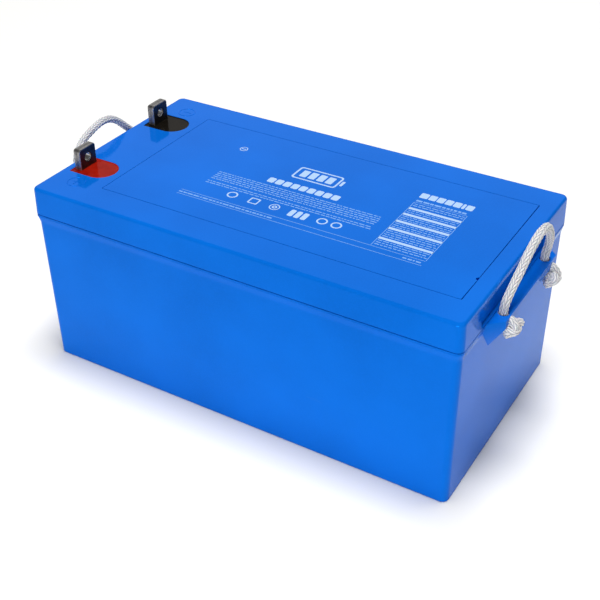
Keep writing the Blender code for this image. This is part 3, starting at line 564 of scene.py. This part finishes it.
KNOT_WIDTH, KNOT_SPREAD, KNOT_DROP = 2.0, 1.30, 0.80  # its size along X, Y and Z, in knot sizes
KNOT_OPEN, KNOT_PARTS = 0.55, 28


def loop_path(end, shape, lean):
    pivot = Vector((end * ROPE_HOLE_X, 0.0, PIVOT_Z))
    points = [pivot + Vector((end * h * math.sin(lean), y, h * math.cos(lean))) for y, h in shape]
    below = Vector((0.0, 0.0, -ROPE_BELOW_PIVOT))
    return [points[0] + below, *points, points[-1] + below]


def knot_path(end, side, label, place, slack):
    """An overhand knot pulled tight under the ledge, from the rope hole to the cut end."""
    lift = KNOT_LIFT[f"{label}_{place}"]
    centre = Vector((end * (KNOT_X - KNOT_X_SHIFT[label]), side * ROPE_HOLE_Y + end * 0.0020,
                     KNOT_Z + lift - slack))
    knot = []
    for k in range(KNOT_PARTS + 1):
        t = math.pi + KNOT_OPEN + (2 * math.pi - 2 * KNOT_OPEN) * k / KNOT_PARTS
        a = math.sin(t) + 2 * math.sin(2 * t)
        b = math.cos(t) - 2 * math.cos(2 * t)
        c = -math.sin(3 * t)
        knot.append(centre + Vector((end * c * KNOT_SIZE * KNOT_WIDTH, side * a * KNOT_SIZE * KNOT_SPREAD,
                                     -b * KNOT_SIZE * KNOT_DROP)))
    top = Vector((end * ROPE_HOLE_X, side * ROPE_HOLE_Y, LEDGE_TOP - 0.0005))
    lead_in = [top, top - Vector((0.0, 0.0, 0.006 + slack * 0.7)), (top * 0.45 + knot[0] * 0.55)]
    tail = [centre + Vector((end * x, end * y, z)) for x, y, z in
            ((0.0045, 0.0010, -0.0030), (0.0010, -0.0070, -0.0045), (-0.0040, -0.0120, -0.0055))]
    return lead_in + knot[1:-1] + tail


def make_rope(end, label, shape, lean, slack, seed):
    """One handle: its loop, leant about its pivot above the ledge, and its two knots."""
    path, length = curve_through(loop_path(end, shape, lean), PATH_STEP)
    bm = bmesh.new()
    layers = rope_layers(bm)
    braid(bm, path, length, ROPE_R, 56, layers, turn=0.3 * seed, seed=seed)
    if end > 0:
        a = Vector(tuple(path[int(len(path) * 0.655)]))
        snag(bm, layers, [a + Vector((0.001, -0.0035, 0.0)), a + Vector((0.0015, -0.0070, -0.001)),
                          a + Vector((0.001, -0.0078, -0.0035)), a + Vector((0.0, -0.0050, -0.0055)),
                          a + Vector((0.0, -0.0030, -0.005))])
    handle = piece(f"rope_loop_{label}", bm, ROPE, None, "white_rope", f"rope_handle_{label}", sharp=180)
    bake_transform(handle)
    for side, place in ((-1, "front"), (1, "rear")):
        bm = bmesh.new()
        layers = rope_layers(bm)
        route, total = curve_through(knot_path(end, side, label, place, slack), KNOT_STEP)
        braid(bm, route, total, ROPE_R * 1.02, 44, layers, turn=seed + side, taper=0.0012, seed=seed + side)
        piece(f"knot_{label}_{place}", bm, ROPE, f"rope_{label}_knots", "white_rope",
                           f"rope_knot_{label}_{place}", sharp=180)


make_rope(1, "right", LOOP_RIGHT, LEAN_RIGHT, 0.0, 1)
make_rope(-1, "left", LOOP_LEFT, LEAN_LEFT, LEFT_SLACK, 4)


# --- container ----------
def wall_x_at(z):
    return LENGTH / 2 - RIM_FLARE - WALL_DRAFT * (1 - z / (SEAM - RIM_HEIGHT))


def ring_at(bm, half_x, half_y, z, radius):
    return row_of(bm, [(x, y, z) for x, y in rounded(half_x, half_y, radius, CORNER_STEPS)])


def make_container():
    """The case: flared rim with a fine bead, a rounded top edge, and six open cells."""
    bm = bmesh.new()
    hx, hy = LENGTH / 2, WIDTH / 2
    fx, fy = hx - RIM_FLARE - WALL_DRAFT, hy - RIM_FLARE - WALL_DRAFT
    rows = []
    for c, s in arc(6, -90, 0):
        inset = BASE_EDGE_R * (1 - c)
        rows.append(ring_at(bm, fx - inset, fy - inset, BASE_EDGE_R * (1 + s), CORNER_R - inset))
    fill(bm, [rows[0]], (0, 0, -1))
    rim = SEAM - RIM_HEIGHT
    levels = [(0.030, 0.0), (rim - 0.004, 0.0), (rim - 0.0012, 0.00004),
              (rim + 0.0006, 0.0002), (rim + 0.0022, 0.00052)]
    for z, flare in levels:
        grow = WALL_DRAFT * min(1.0, z / rim) + flare
        rows.append(ring_at(bm, fx + grow, fy + grow, z, CORNER_R))
    lip, bead, top_edge = SEAM - 0.0024, 0.0004, 0.0006
    rows.append(ring_at(bm, hx - 0.00022, hy - 0.00022, lip - 0.0005, CORNER_R))
    for c, s in arc(3, -60, 60):
        z = lip + 0.0002 + 0.0003 * s
        rows.append(ring_at(bm, hx - bead + bead * c, hy - bead + bead * c, z, CORNER_R))
    rows.append(ring_at(bm, hx - 0.0001, hy - 0.0001, SEAM - 0.0007, CORNER_R))
    for c, s in arc(4, 0, 90):
        z = SEAM - top_edge + top_edge * s
        rows.append(ring_at(bm, hx - 0.0007 + top_edge * c, hy - 0.0007 + top_edge * c, z, CORNER_R))
    tx, ty = CAVITY_X + TONGUE, CAVITY_Y + TONGUE
    rows.append(ring_at(bm, tx, ty, SEAM, 0.004))
    rows.append(ring_at(bm, tx, ty, WALL_TOP, 0.004))
    rows.append(ring_at(bm, CAVITY_X, CAVITY_Y, WALL_TOP, 0.001))
    rows.append(ring_at(bm, CAVITY_X, CAVITY_Y, FLOOR, 0.001))
    bridge_all(bm, rows)
    fill(bm, [rows[-1]], (0, 0, 1))
    for c in (-1, 1):
        x = c * (CELL_X + PARTITION) / 2
        box(bm, (x - PARTITION / 2, -CAVITY_Y, FLOOR), (x + PARTITION / 2, CAVITY_Y, WALL_TOP))
    box(bm, (-CAVITY_X, -PARTITION / 2, FLOOR), (CAVITY_X, PARTITION / 2, WALL_TOP))
    return bm


def mesh_of(make):
    """The closed shape that make adds to an empty bmesh."""
    bm = bmesh.new()
    make(bm)
    face_outwards(bm)
    mesh = bpy.data.meshes.new("shape")
    bm.to_mesh(mesh)
    bm.free()
    return mesh


def carved(mesh, cutters, bevel):
    """The mesh less its cutters, with its edges rounded; returned as a finished mesh."""
    scene = bpy.context.scene
    obj = bpy.data.objects.new("carved", mesh)
    scene.collection.objects.link(obj)
    made = []
    for n, other in enumerate(cutters):
        tool = bpy.data.objects.new(f"tool_{n}", other)
        scene.collection.objects.link(tool)
        made.append(tool)
        cut = obj.modifiers.new(f"cut_{n}", "BOOLEAN")
        cut.operation = "DIFFERENCE"
        cut.solver = "EXACT"
        cut.object = tool
    round_edges = obj.modifiers.new("round", "BEVEL")
    round_edges.width = bevel
    round_edges.segments = 3
    round_edges.limit_method = "ANGLE"
    round_edges.angle_limit = math.radians(30)
    bpy.context.view_layer.update()
    graph = bpy.context.evaluated_depsgraph_get()
    result = bpy.data.meshes.new_from_object(obj.evaluated_get(graph))
    for tool in made:
        bpy.data.objects.remove(tool)
    bpy.data.objects.remove(obj)
    return result


def ledge_mesh():
    """The right end's hollow rope ledge: a tapered shelf, open below, with two rope holes."""
    wall_x = LENGTH / 2 - RIM_FLARE
    root_x = LENGTH / 2 - RIM_FLARE - 0.004
    points = []
    for side in (-1, 1):
        for x in (root_x, wall_x):
            points += [(x, side * LEDGE_ROOT_Y, LEDGE_TOP), (x, side * LEDGE_ROOT_Y, LEDGE_TOP - 0.012),
                       (x, side * LEDGE_TIP_Y, LEDGE_TIP_Z)]
        points += [(LEDGE_X, side * LEDGE_Y, LEDGE_TOP), (LEDGE_X, side * LEDGE_Y, LEDGE_LIP_Z),
                   (wall_x + 0.003, side * (LEDGE_Y + 0.002), LEDGE_TOP)]
    half_y = LEDGE_Y - LEDGE_SKIN
    inner = wall_x_at(LEDGE_TIP_Z) + 0.0002
    under = LEDGE_TIP_Z - 0.005

    def shelf(bm):
        for p in points:
            bm.verts.new(p)
        bmesh.ops.convex_hull(bm, input=bm.verts)
        bmesh.ops.dissolve_limit(bm, angle_limit=math.radians(0.5), verts=bm.verts, edges=bm.edges)

    def behind(bm):
        box(bm, (inner, -half_y, under), (LEDGE_X - LEDGE_SKIN, half_y, LEDGE_TOP - LEDGE_SKIN))

    def below(bm):
        box(bm, (inner, -half_y, under), (LEDGE_X + 0.001, half_y, LEDGE_LIP_Z))

    def holes(bm):
        for side in (-1, 1):
            outline = circle(ROPE_HOLE_X, side * ROPE_HOLE_Y, ROPE_HOLE_R, 40)
            low = row_of(bm, [(x, y, LEDGE_TOP - 0.006) for x, y in outline])
            high = row_of(bm, [(x, y, LEDGE_TOP + 0.001) for x, y in outline])
            bridge(bm, low, high)
            bm.faces.new(reversed(low))
            bm.faces.new(high)

    return carved(mesh_of(shelf), [mesh_of(behind), mesh_of(below), mesh_of(holes)], 0.0006)


bm = make_container()
ledge = ledge_mesh()
bm.from_mesh(ledge)
ledge.transform(Matrix.Rotation(math.pi, 4, "Z"))
bm.from_mesh(ledge)
piece("container_shell", bm, BLUE, "battery", "blue_abs", "container", sharp=30, flat=True)


# --- lid ----------
def pocket_outline(side, offset=0.0):
    """A terminal pocket: square with small corners at the battery's end, round at the other."""
    r = POCKET_R + offset
    corner = 0.0012 + offset
    end = POCKET_END_X - offset
    points = []
    for c, s in arc(6, 90, 180):
        points.append((end + corner + corner * c, r - corner + corner * s))
    for c, s in arc(6, 180, 270):
        points.append((end + corner + corner * c, -r + corner + corner * s))
    for c, s in arc(36, -90, 90):
        points.append((POCKET_ROUND_X + r * c, r * s))
    return [(x, y + side * POCKET_Y) for x, y in points]


def sunk(bm, outline, top, depth, edge=0.0005, foot=0.0005):
    """Wall of a recess with a rounded rim and foot. Returns the rim's loop and the floor's loop."""
    rows = []
    for c, s in arc(4, 90, 0):
        rows.append(row_of(bm, [(x, y, top - edge * (1 - s)) for x, y in grown(outline, edge * (1 - c))]))
    for c, s in arc(4, 180, 270):
        rows.append(row_of(bm, [(x, y, top - depth + foot * (1 + s)) for x, y in
                                grown(outline, -foot * (1 + c))]))
    bridge_all(bm, [r[::-1] for r in rows])
    return rows[0], rows[-1]


def make_lid():
    """The lid: skirt with a recess in each end, terminal pockets, cover recess and valve wells."""
    bm = bmesh.new()
    hx, hy = LENGTH / 2, WIDTH / 2
    bottom, foot_r, flat_edge = SEAM + SEAM_GAP, 0.0005, 0.0004
    rows = []
    for c, s in arc(3, -90, 0):
        rows.append(ring_at(bm, hx - foot_r + foot_r * c, hy - foot_r + foot_r * c,
                            bottom + foot_r * (1 + s), CORNER_R))
    wall_foot = rows[-1]
    edge_rows = []
    for c, s in arc(9, 0, 90):
        inset = LID_DRAFT + LID_EDGE_R * (1 - c)
        edge_rows.append(ring_at(bm, hx - inset, hy - inset, LID_TOP - LID_EDGE_R * (1 - s),
                                 CORNER_R - 0.7 * inset))
    wall_head = edge_rows[0]
    bridge_all(bm, rows)
    bridge_all(bm, edge_rows)
    last = ring_at(bm, hx - LID_DRAFT - LID_EDGE_R - flat_edge, hy - LID_DRAFT - LID_EDGE_R - flat_edge,
                   LID_TOP, CORNER_R - 0.7 * (LID_DRAFT + LID_EDGE_R))
    bridge(bm, edge_rows[-1], last)

    n = len(wall_foot)
    for k in range(n):
        m = (k + 1) % n
        along = wall_foot[m].co - wall_foot[k].co
        if abs(along.x) < 1e-6 and abs(along.y) > 0.1:
            end = 1 if wall_foot[k].co.x > 0 else -1
            recessed_end(bm, end, wall_foot[k], wall_foot[m], wall_head[m], wall_head[k])
        else:
            bm.faces.new((wall_foot[k], wall_foot[m], wall_head[m], wall_head[k]))

    cover = rounded(COVER_X + COVER_GAP, COVER_Y + COVER_GAP, 0.0015, 6, (COVER_CENTRE_X, 0.0))
    cover_rim, cover_floor = sunk(bm, cover, LID_TOP, COVER_RECESS, 0.00035, 0.0004)
    rims = [cover_rim]
    for side in (-1, 1):
        rim, floor = sunk(bm, pocket_outline(side), LID_TOP, POCKET_DEPTH)
        rims.append(rim)
        fill(bm, [floor], (0, 0, 1))
    fill(bm, [last, *rims], (0, 0, 1))

    wells = []
    recess_z = LID_TOP - COVER_RECESS
    for column, row in CELLS:
        cx, cy = cell_centre(column, row)
        profile = [(WELL_R + 0.0005, recess_z)]
        profile += [(WELL_R + 0.0005 * (1 - c), recess_z - 0.0005 * (1 - s)) for c, s in arc(3, 60, 0)]
        profile += [(WELL_R - 0.001 * (1 + c), WELL_FLOOR + 0.001 * (1 + s)) for c, s in arc(4, 180, 270)]
        profile += [(NOZZLE_R + 0.0008 * (1 + c), WELL_FLOOR + 0.0008 * (1 + s)) for c, s in arc(4, 270, 180)]
        profile += [(NOZZLE_R - 0.0006 * (1 - c), NOZZLE_TOP - 0.0006 * (1 - s)) for c, s in arc(4, 0, 90)]
        profile += [(NOZZLE_BORE_R, NOZZLE_TOP), (NOZZLE_BORE_R, WELL_FLOOR - 0.0025)]
        wells.append(lathe(bm, profile, cx, cy)[0])
    fill(bm, [cover_floor, *wells], (0, 0, 1))

    inner_x, inner_y = CAVITY_X + TONGUE + GAP, CAVITY_Y + TONGUE + GAP
    inner = [ring_at(bm, inner_x, inner_y, z, 0.004) for z in (bottom, LID_UNDERSIDE)]
    bridge_all(bm, [rows[0], *inner])
    fill(bm, [inner[-1]], (0, 0, -1))
    face_outwards(bm)
    polarity_marks(bm)
    return bm


def recessed_end(bm, end, foot_a, foot_b, head_b, head_a):
    """End wall of the lid between two corners. Its recess opens downwards at the seam."""
    foot_z = foot_a.co.z
    foot_x, head_x = abs(foot_a.co.x), abs(head_a.co.x)
    slope = (foot_x - head_x) / (head_a.co.z - foot_z)
    lean = (RECESS_TOP_Y - RECESS_BOTTOM_Y) / (RECESS_TOP - SEAM)
    turn = RECESS_CORNER_R
    bend = 0.012
    outline = [(RECESS_BOTTOM_Y, foot_z), (RECESS_BOTTOM_Y + lean * bend, foot_z + bend)]
    corner = (RECESS_TOP_Y - turn - 0.001, RECESS_TOP - turn)
    for c, s in arc(12, -20, 90):
        outline.append((corner[0] + turn * c, corner[1] + turn * s))
    outline += [(-y, z) for y, z in reversed(outline)]
    outline = [(y - end * RECESS_SHORT if y * end > 0 else y, z) for y, z in outline]
    p = np.array(outline)
    ahead = np.gradient(p, axis=0)
    ahead /= np.linalg.norm(ahead, axis=1)[:, None]
    inwards = np.stack((-ahead[:, 1], ahead[:, 0]), axis=1)
    inwards[0] = inwards[-1] = (0.0, 0.0)
    inwards[0][0], inwards[-1][0] = -1.0, 1.0
    rim_r, reach = 0.0005, 0.0010
    profile = [(rim_r * s - rim_r, rim_r * (1 - c)) for c, s in arc(4, 0, 70)]
    profile += [(0.0001 + reach * (1 - c), RECESS_DEPTH - reach * (1 - s)) for c, s in arc(5, 10, 90)]
    rows = []
    for inset, depth in profile:
        q = p + inwards * (inset + rim_r)
        rows.append(row_of(bm, [(end * (foot_x - slope * (z - foot_z) - depth), y, z) for y, z in q]))
    bridge_all(bm, rows, closed=False)
    a, b = (foot_a, foot_b) if foot_a.co.y < foot_b.co.y else (foot_b, foot_a)
    ha, hb = (head_a, head_b) if head_a.co.y < head_b.co.y else (head_b, head_a)
    boundary = [a, *reversed(rows[0]), b, hb, ha]
    fill(bm, [boundary], (end, 0, 0))
    fill(bm, [rows[-1]], (end, 0, 0))


def raised_line(bm, points, width, closed):
    """A low rounded bead on the lid's top along (x, y) points."""
    p = np.array(points)
    if closed:
        ahead = np.roll(p, -1, axis=0) - np.roll(p, 1, axis=0)
    else:
        ahead = np.gradient(p, axis=0)
    ahead /= np.linalg.norm(ahead, axis=1)[:, None]
    side = np.stack((ahead[:, 1], -ahead[:, 0]), axis=1)
    rows = []
    for c, s in arc(6, 0, 180):
        q = p + side * (c * width / 2)
        rows.append(row_of(bm, [(x, y, LID_TOP - 0.00002 + BEAD_HEIGHT * s) for x, y in q]))
    bridge_all(bm, rows, closed=closed)


def polarity_marks(bm):
    """A ring beside each terminal, with a plus at the positive one and a minus at the other."""
    ring_r, arm = 0.0102, 0.0052
    for side in (-1, 1):
        cx, cy = -0.2246, side * 0.105
        raised_line(bm, circle(cx, cy, ring_r, 48), 0.0011, True)
        bars = [((-arm, 0.0), (arm, 0.0))]
        if side < 0:
            bars.append(((0.0, -arm), (0.0, arm)))
        for (ax, ay), (bx, by) in bars:
            line = [(cx + ax + (bx - ax) * t / 6, cy + ay + (by - ay) * t / 6) for t in range(7)]
            raised_line(bm, line, 0.0012, False)


piece("lid_shell", make_lid(), BLUE, "battery", "blue_abs", "lid", sharp=30, flat=True)


# --- vent cover and its print ----------
def cover_outline():
    """The plate's edge, a little further from the lid at its right, with the pry notch there."""
    fit, notch_out = 0.0001, 0.0006
    points = rounded(COVER_X - fit, COVER_Y + fit, 0.0012, 6, (COVER_CENTRE_X - 2 * fit, 0.0))
    notch = []
    centre = COVER_CENTRE_X + COVER_X + notch_out
    reach = math.degrees(math.acos(-notch_out / NOTCH_R))
    for c, s in arc(14, 360 - reach, reach):
        notch.append((centre + NOTCH_R * c, NOTCH_Y + NOTCH_R * s))
    return points + notch


def make_cover():
    bm = bmesh.new()
    outline = cover_outline()
    edge = 0.0004
    rows = [row_of(bm, [(x, y, LID_TOP - COVER_THICKNESS) for x, y in outline])]
    for c, s in arc(4, 0, 90):
        z = LID_TOP - edge * (1 - s)
        rows.append(row_of(bm, [(x, y, z) for x, y in grown(outline, -edge * (1 - c))]))
    rows.append(row_of(bm, [(x, y, LID_TOP) for x, y in grown(outline, -edge * 1.5)]))
    bridge_all(bm, rows)
    fill(bm, [rows[0]], (0, 0, -1))
    fill(bm, [rows[-1]], (0, 0, 1))
    face_outwards(bm)
    return bm


def print_bar(bm, x0, x1, y, height, radius=0.0, mat=0):
    """One printed bar from x0 to x1, centred on y. Lengths in mm."""
    half_x, half_y = (x1 - x0) / 2000, height / 2000
    r = min(radius / 1000, half_x * 0.98, half_y * 0.98)
    centre = ((x0 + x1) / 2000, y / 1000)
    if r > 0:
        outline = rounded(half_x, half_y, r, 4, centre)
    else:
        outline = [(centre[0] + sx * half_x, centre[1] + sy * half_y)
                   for sx, sy in ((1, -1), (1, 1), (-1, 1), (-1, -1))]
    face = bm.faces.new([bm.verts.new((px, py, PRINT_Z)) for px, py in outline])
    face.material_index = mat
    face.normal_update()
    if face.normal.z < 0:
        face.normal_flip()


def print_outline(bm, outer, inner):
    bridge(bm, *(row_of(bm, [(x, y, PRINT_Z) for x, y in outline]) for outline in (outer, inner)))


def print_ring(bm, x, y, outer, inner):
    print_outline(bm, *(circle(x / 1000, y / 1000, r / 1000, 32) for r in (outer, inner)))


def print_square(bm, x, y, outer, inner):
    print_outline(bm, *(rounded(r / 1000, r / 1000, r / 4000, 4, (x / 1000, y / 1000))
                        for r in (outer, inner)))


def print_dashes(bm, rng, x0, x1, y, height):
    """A row of small dashes of random widths."""
    x = x0
    while x < x1 - 1.5:
        width = min(rng.uniform(2.0, 7.5), x1 - x)
        print_bar(bm, x, x + width, y, height, mat=1)
        x += width + rng.uniform(0.9, 1.5)


def make_print():
    """Generic marks on the cover, in mm along X and Y."""
    bm = bmesh.new()
    rng = random.Random(7)
    print_ring(bm, -106.9, 56.0, 5.0, 4.0)
    print_bar(bm, -110.0, -103.8, 56.0, 1.4)
    # A battery pictogram: its outline, its tip and four blocks of charge.
    print_outline(bm, rounded(0.028, 0.0135, 0.004, 5, (0.0035, 0.0385)),
                  rounded(0.0258, 0.0113, 0.0025, 5, (0.0035, 0.0385)))
    print_bar(bm, 33.2, 36.6, 38.5, 11.0, 1.0)
    for x in (-16.5, -5.5, 5.5, 16.5):
        print_bar(bm, 3.5 + x - 4.2, 3.5 + x + 4.2, 38.5, 15.0, 1.2)
    # A row of wide blocks, rows of fine dashes and two rules.
    for k in range(9):
        print_bar(bm, -42.0 + 10.2 * k, -33.4 + 10.2 * k, 7.5, 11.0, 2.2)
    for y in (-5.0, -9.0, -13.0, -17.0, -21.0, -27.8, -31.8):
        print_dashes(bm, rng, -100.0, 107.7, y, 1.5)
    for y in (-59.6, -68.6):
        print_bar(bm, -113.0, 182.5, y, 0.7, mat=1)
    print_dashes(bm, rng, -113.0, 7.0, -64.2, 2.2)
    # Plain rings, a square and bars.
    print_ring(bm, -57.0, -42.5, 6.4, 4.6)
    print_square(bm, -29.0, -42.5, 6.0, 4.4)
    print_ring(bm, -3.0, -42.5, 6.2, 5.0)
    print_ring(bm, -3.0, -42.5, 3.0, 1.4)
    for x in (16.5, 24.5, 32.5):
        print_bar(bm, x, x + 6.0, -44.0, 14.0, 2.0)
    for x in (56.0, 73.0):
        print_ring(bm, x, -43.0, 6.2, 4.4)
    # A blank table under a short row of blocks.
    x = 120.8
    for width in (9.5, 8.4, 8.4, 8.4, 8.4, 3.4, 8.4):
        print_bar(bm, x, x + width, 59.3, 11.0, 1.6)
        x += width + 1.2
    print_dashes(bm, rng, 121.8, 182.5, 46.4, 3.2)
    for x in (121.6, 182.8):
        print_bar(bm, x - 0.35, x + 0.35, -8.0, 101.0, mat=1)
    print_bar(bm, 121.6, 182.8, 42.5, 0.7, mat=1)
    for y in (28.0, 14.2, -2.6, -19.7, -41.7):
        print_bar(bm, 121.6, 182.8, y, 4.0)
    for y in (38.6, 34.6, 23.4, 19.4, 9.6, 5.6, 1.8, -7.4, -11.4, -15.2, -24.6, -28.6, -32.6, -36.6,
              -46.4, -50.4, -54.4):
        print_dashes(bm, rng, 123.4, 181.4, y, 1.5)
    print_dashes(bm, rng, 160.0, 181.4, -64.2, 2.2)
    return bm


piece("cover_plate", make_cover(), BLUE_COVER, "vent_cover", "blue_abs", "vent_cover", sharp=30, flat=True)
piece("cover_print", make_print(), [INK, FINE_INK], "vent_cover", None)


# --- terminals and potting ----------
def flag_outline(y, inset=0.0):
    half = FLAG_WIDTH / 2 - inset
    r = FLAG_CORNER_R - inset * 0.5
    top = TERMINAL_TOP - inset
    base = LID_TOP - POCKET_DEPTH
    points = [(y - half, base), (y + half, base)]
    points += [(y + half - r + r * c, top - r + r * s) for c, s in arc(6, 0, 90)]
    points += [(y - half + r + r * c, top - r + r * s) for c, s in arc(6, 90, 180)]
    return points


def make_flag(side):
    """Upright lead flag on its foot and post, rounded by handling, with a clean bolt hole."""
    bm = bmesh.new()
    layer = bm.verts.layers.float.new("edge")
    y = side * POCKET_Y
    half = FLAG_THICKNESS / 2
    edge, sides = 0.0007, 40

    def ring(x, outline, wear):
        verts = row_of(bm, [(x, py, pz) for py, pz in outline])
        for v in verts:
            v[layer] = wear
        return verts

    for sign in (-1, 1):
        rows = [ring(FLAG_X, flag_outline(y), 0.45)]
        for c, s in arc(4, 0, 90):
            x = FLAG_X + sign * (half - edge * (1 - s))
            rows.append(ring(x, flag_outline(y, edge * (1 - c)), 1.0))
        rows.append(ring(FLAG_X + sign * half, flag_outline(y, edge + 0.0004), 0.05))
        bridge_all(bm, rows)
        bore = []
        for c, s in arc(4, 90, 0):
            r = BORE_R + BORE_EDGE * (1 - c)
            bore.append(ring(FLAG_X + sign * (half - 0.0005 * (1 - s)), circle(y, BOLT_Z, r, sides), 0.0))
        bore.append(ring(FLAG_X, circle(y, BOLT_Z, BORE_R, sides), 0.2))
        bridge_all(bm, bore[:5])
        bridge_all(bm, bore[4:], mat=1)
        halo = ring(FLAG_X + sign * half, circle(y, BOLT_Z, BOLT_R + 0.0005, sides), 0.05)
        bridge(bm, bore[0], halo)
        fill(bm, [rows[-1], halo], (sign, 0, 0))
    foot_z, foot_height, side_gap = LID_TOP - POCKET_DEPTH + GAP, 0.0025, 0.0002
    box(bm, (FLAG_X - half, y - FLAG_WIDTH / 2 + side_gap, foot_z),
        (POST_X + 0.008, y + FLAG_WIDTH / 2 - side_gap, foot_z + foot_height))
    lathe(bm, [(POST_R, POST_FOOT), (POST_R, POST_HEAD)], POST_X, y, 32)
    face_outwards(bm)
    return bm


def make_potting(side):
    """Poured epoxy: level, with a meniscus up the pocket's wall and up the flag."""
    bm = bmesh.new()
    level = LID_TOP - POTTING_DROP
    outline = pocket_outline(side, -GAP * 0.5)
    rows = [row_of(bm, [(x, y, LID_TOP - POCKET_DEPTH + GAP) for x, y in outline])]
    wall_climb, flag_climb = 0.0006, 0.0009
    for k in range(7):
        t = k / 6
        z = level + wall_climb * (1 - t) ** 2.2
        rows.append(row_of(bm, [(x, y, z) for x, y in grown(outline, -0.0018 * t)]))
    rows.append(row_of(bm, [(x, y, level) for x, y in grown(outline, -0.0022)]))
    bridge_all(bm, rows)
    fill(bm, [rows[0]], (0, 0, -1))
    fill(bm, [rows[-1]], (0, 0, 1))
    collar = []
    for k in range(7):
        t = k / 6
        out = 0.0016 * t
        ring = rounded(FLAG_THICKNESS / 2 + 0.00005 + out, FLAG_WIDTH / 2 + 0.00005 + out, 0.0006 + out, 4,
                       (FLAG_X, side * POCKET_Y))
        collar.append(row_of(bm, [(x, y, level + flag_climb * (1 - t) ** 2.4 - 0.00002) for x, y in ring]))
    bridge_all(bm, collar)
    face_outwards(bm)
    return bm


for name, side, epoxy_mat, epoxy_slot in (("positive", -1, RED, "red_epoxy"),
                                          ("negative", 1, BLACK, "black_epoxy")):
    piece(f"{name}_flag", make_flag(side), [LEAD, BORE], "battery", "terminal_lead", f"{name}_terminal",
          sharp=40, flat=True)
    piece(f"{name}_epoxy", make_potting(side), epoxy_mat, "battery", epoxy_slot, f"{name}_potting",
          sharp=40)


# --- finishes on the CAD's own pieces ----------
FINISHES = (("valve_cap", RUBBER), ("terminal_seal", RUBBER), ("positive_plates", POSITIVE),
            ("negative_plates", NEGATIVE), ("separator", MAT), ("intercell_weld", CAST))
for name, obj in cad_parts.items():
    for start, mat in FINISHES:
        if name.startswith(start):
            for slot in obj.material_slots:
                slot.material = mat


# --- floor and light ----------
def area_light(name, place, target, size, power):
    light = bpy.data.lights.new(name, "AREA")
    light.shape = "RECTANGLE"
    light.size, light.size_y = size
    light.energy = power
    obj = bpy.data.objects.new(name, light)
    bpy.context.scene.collection.objects.link(obj)
    obj.location = place
    obj.rotation_euler = (Vector(target) - Vector(place)).to_track_quat("-Z", "Y").to_euler()
    return obj


bm = bmesh.new()
bmesh.ops.create_circle(bm, cap_ends=True, segments=96, radius=3.0)
mesh = bpy.data.meshes.new("floor")
bm.to_mesh(mesh)
bm.free()
floor = bpy.data.objects.new("floor", mesh)
bpy.context.scene.collection.objects.link(floor)
paper = Shader("paper", (0.93, 0.925, 0.905), 0.9)
paper.drive("Base Color", paper.mix(paper.noise(3.0), (0.925, 0.92, 0.902), (0.94, 0.935, 0.915)))
paper.set("Specular IOR Level", 0.1)
floor.data.materials.append(paper.mat)

world = bpy.data.worlds.new("studio")
world.use_nodes = True
tree = world.node_tree
tree.nodes["Background"].inputs["Color"].default_value = (1.0, 1.0, 1.0, 1.0)
tree.nodes["Background"].inputs["Strength"].default_value = 0.13
paper_white = tree.nodes.new("ShaderNodeBackground")
paper_white.inputs["Strength"].default_value = 1.0
paper_white.inputs["Color"].default_value = (1.0, 1.0, 1.0, 1.0)
seen = tree.nodes.new("ShaderNodeLightPath")
choose = tree.nodes.new("ShaderNodeMixShader")
tree.links.new(seen.outputs["Is Camera Ray"], choose.inputs["Fac"])
tree.links.new(tree.nodes["Background"].outputs["Background"], choose.inputs[1])
tree.links.new(paper_white.outputs["Background"], choose.inputs[2])
tree.links.new(choose.outputs["Shader"], tree.nodes["World Output"].inputs["Surface"])
bpy.context.scene.world = world
bpy.context.scene.view_settings.view_transform = "Standard"

# The overhead lamp leaves no glare on the cover; the light behind is what the blue faces reflect.
area_light("overhead", (0.30, 0.0, 5.0), (0.0, 0.0, 0.1), (1.7, 1.7), 240.0).visible_glossy = False
area_light("front", (0.45, -3.2, 0.55), (0.0, 0.0, 0.1), (2.2, 1.0), 53.0)
area_light("rear_wall", (-1.1, 2.3, 1.5), (0.0, 0.0, 0.2), (4.0, 2.2), 17.0)
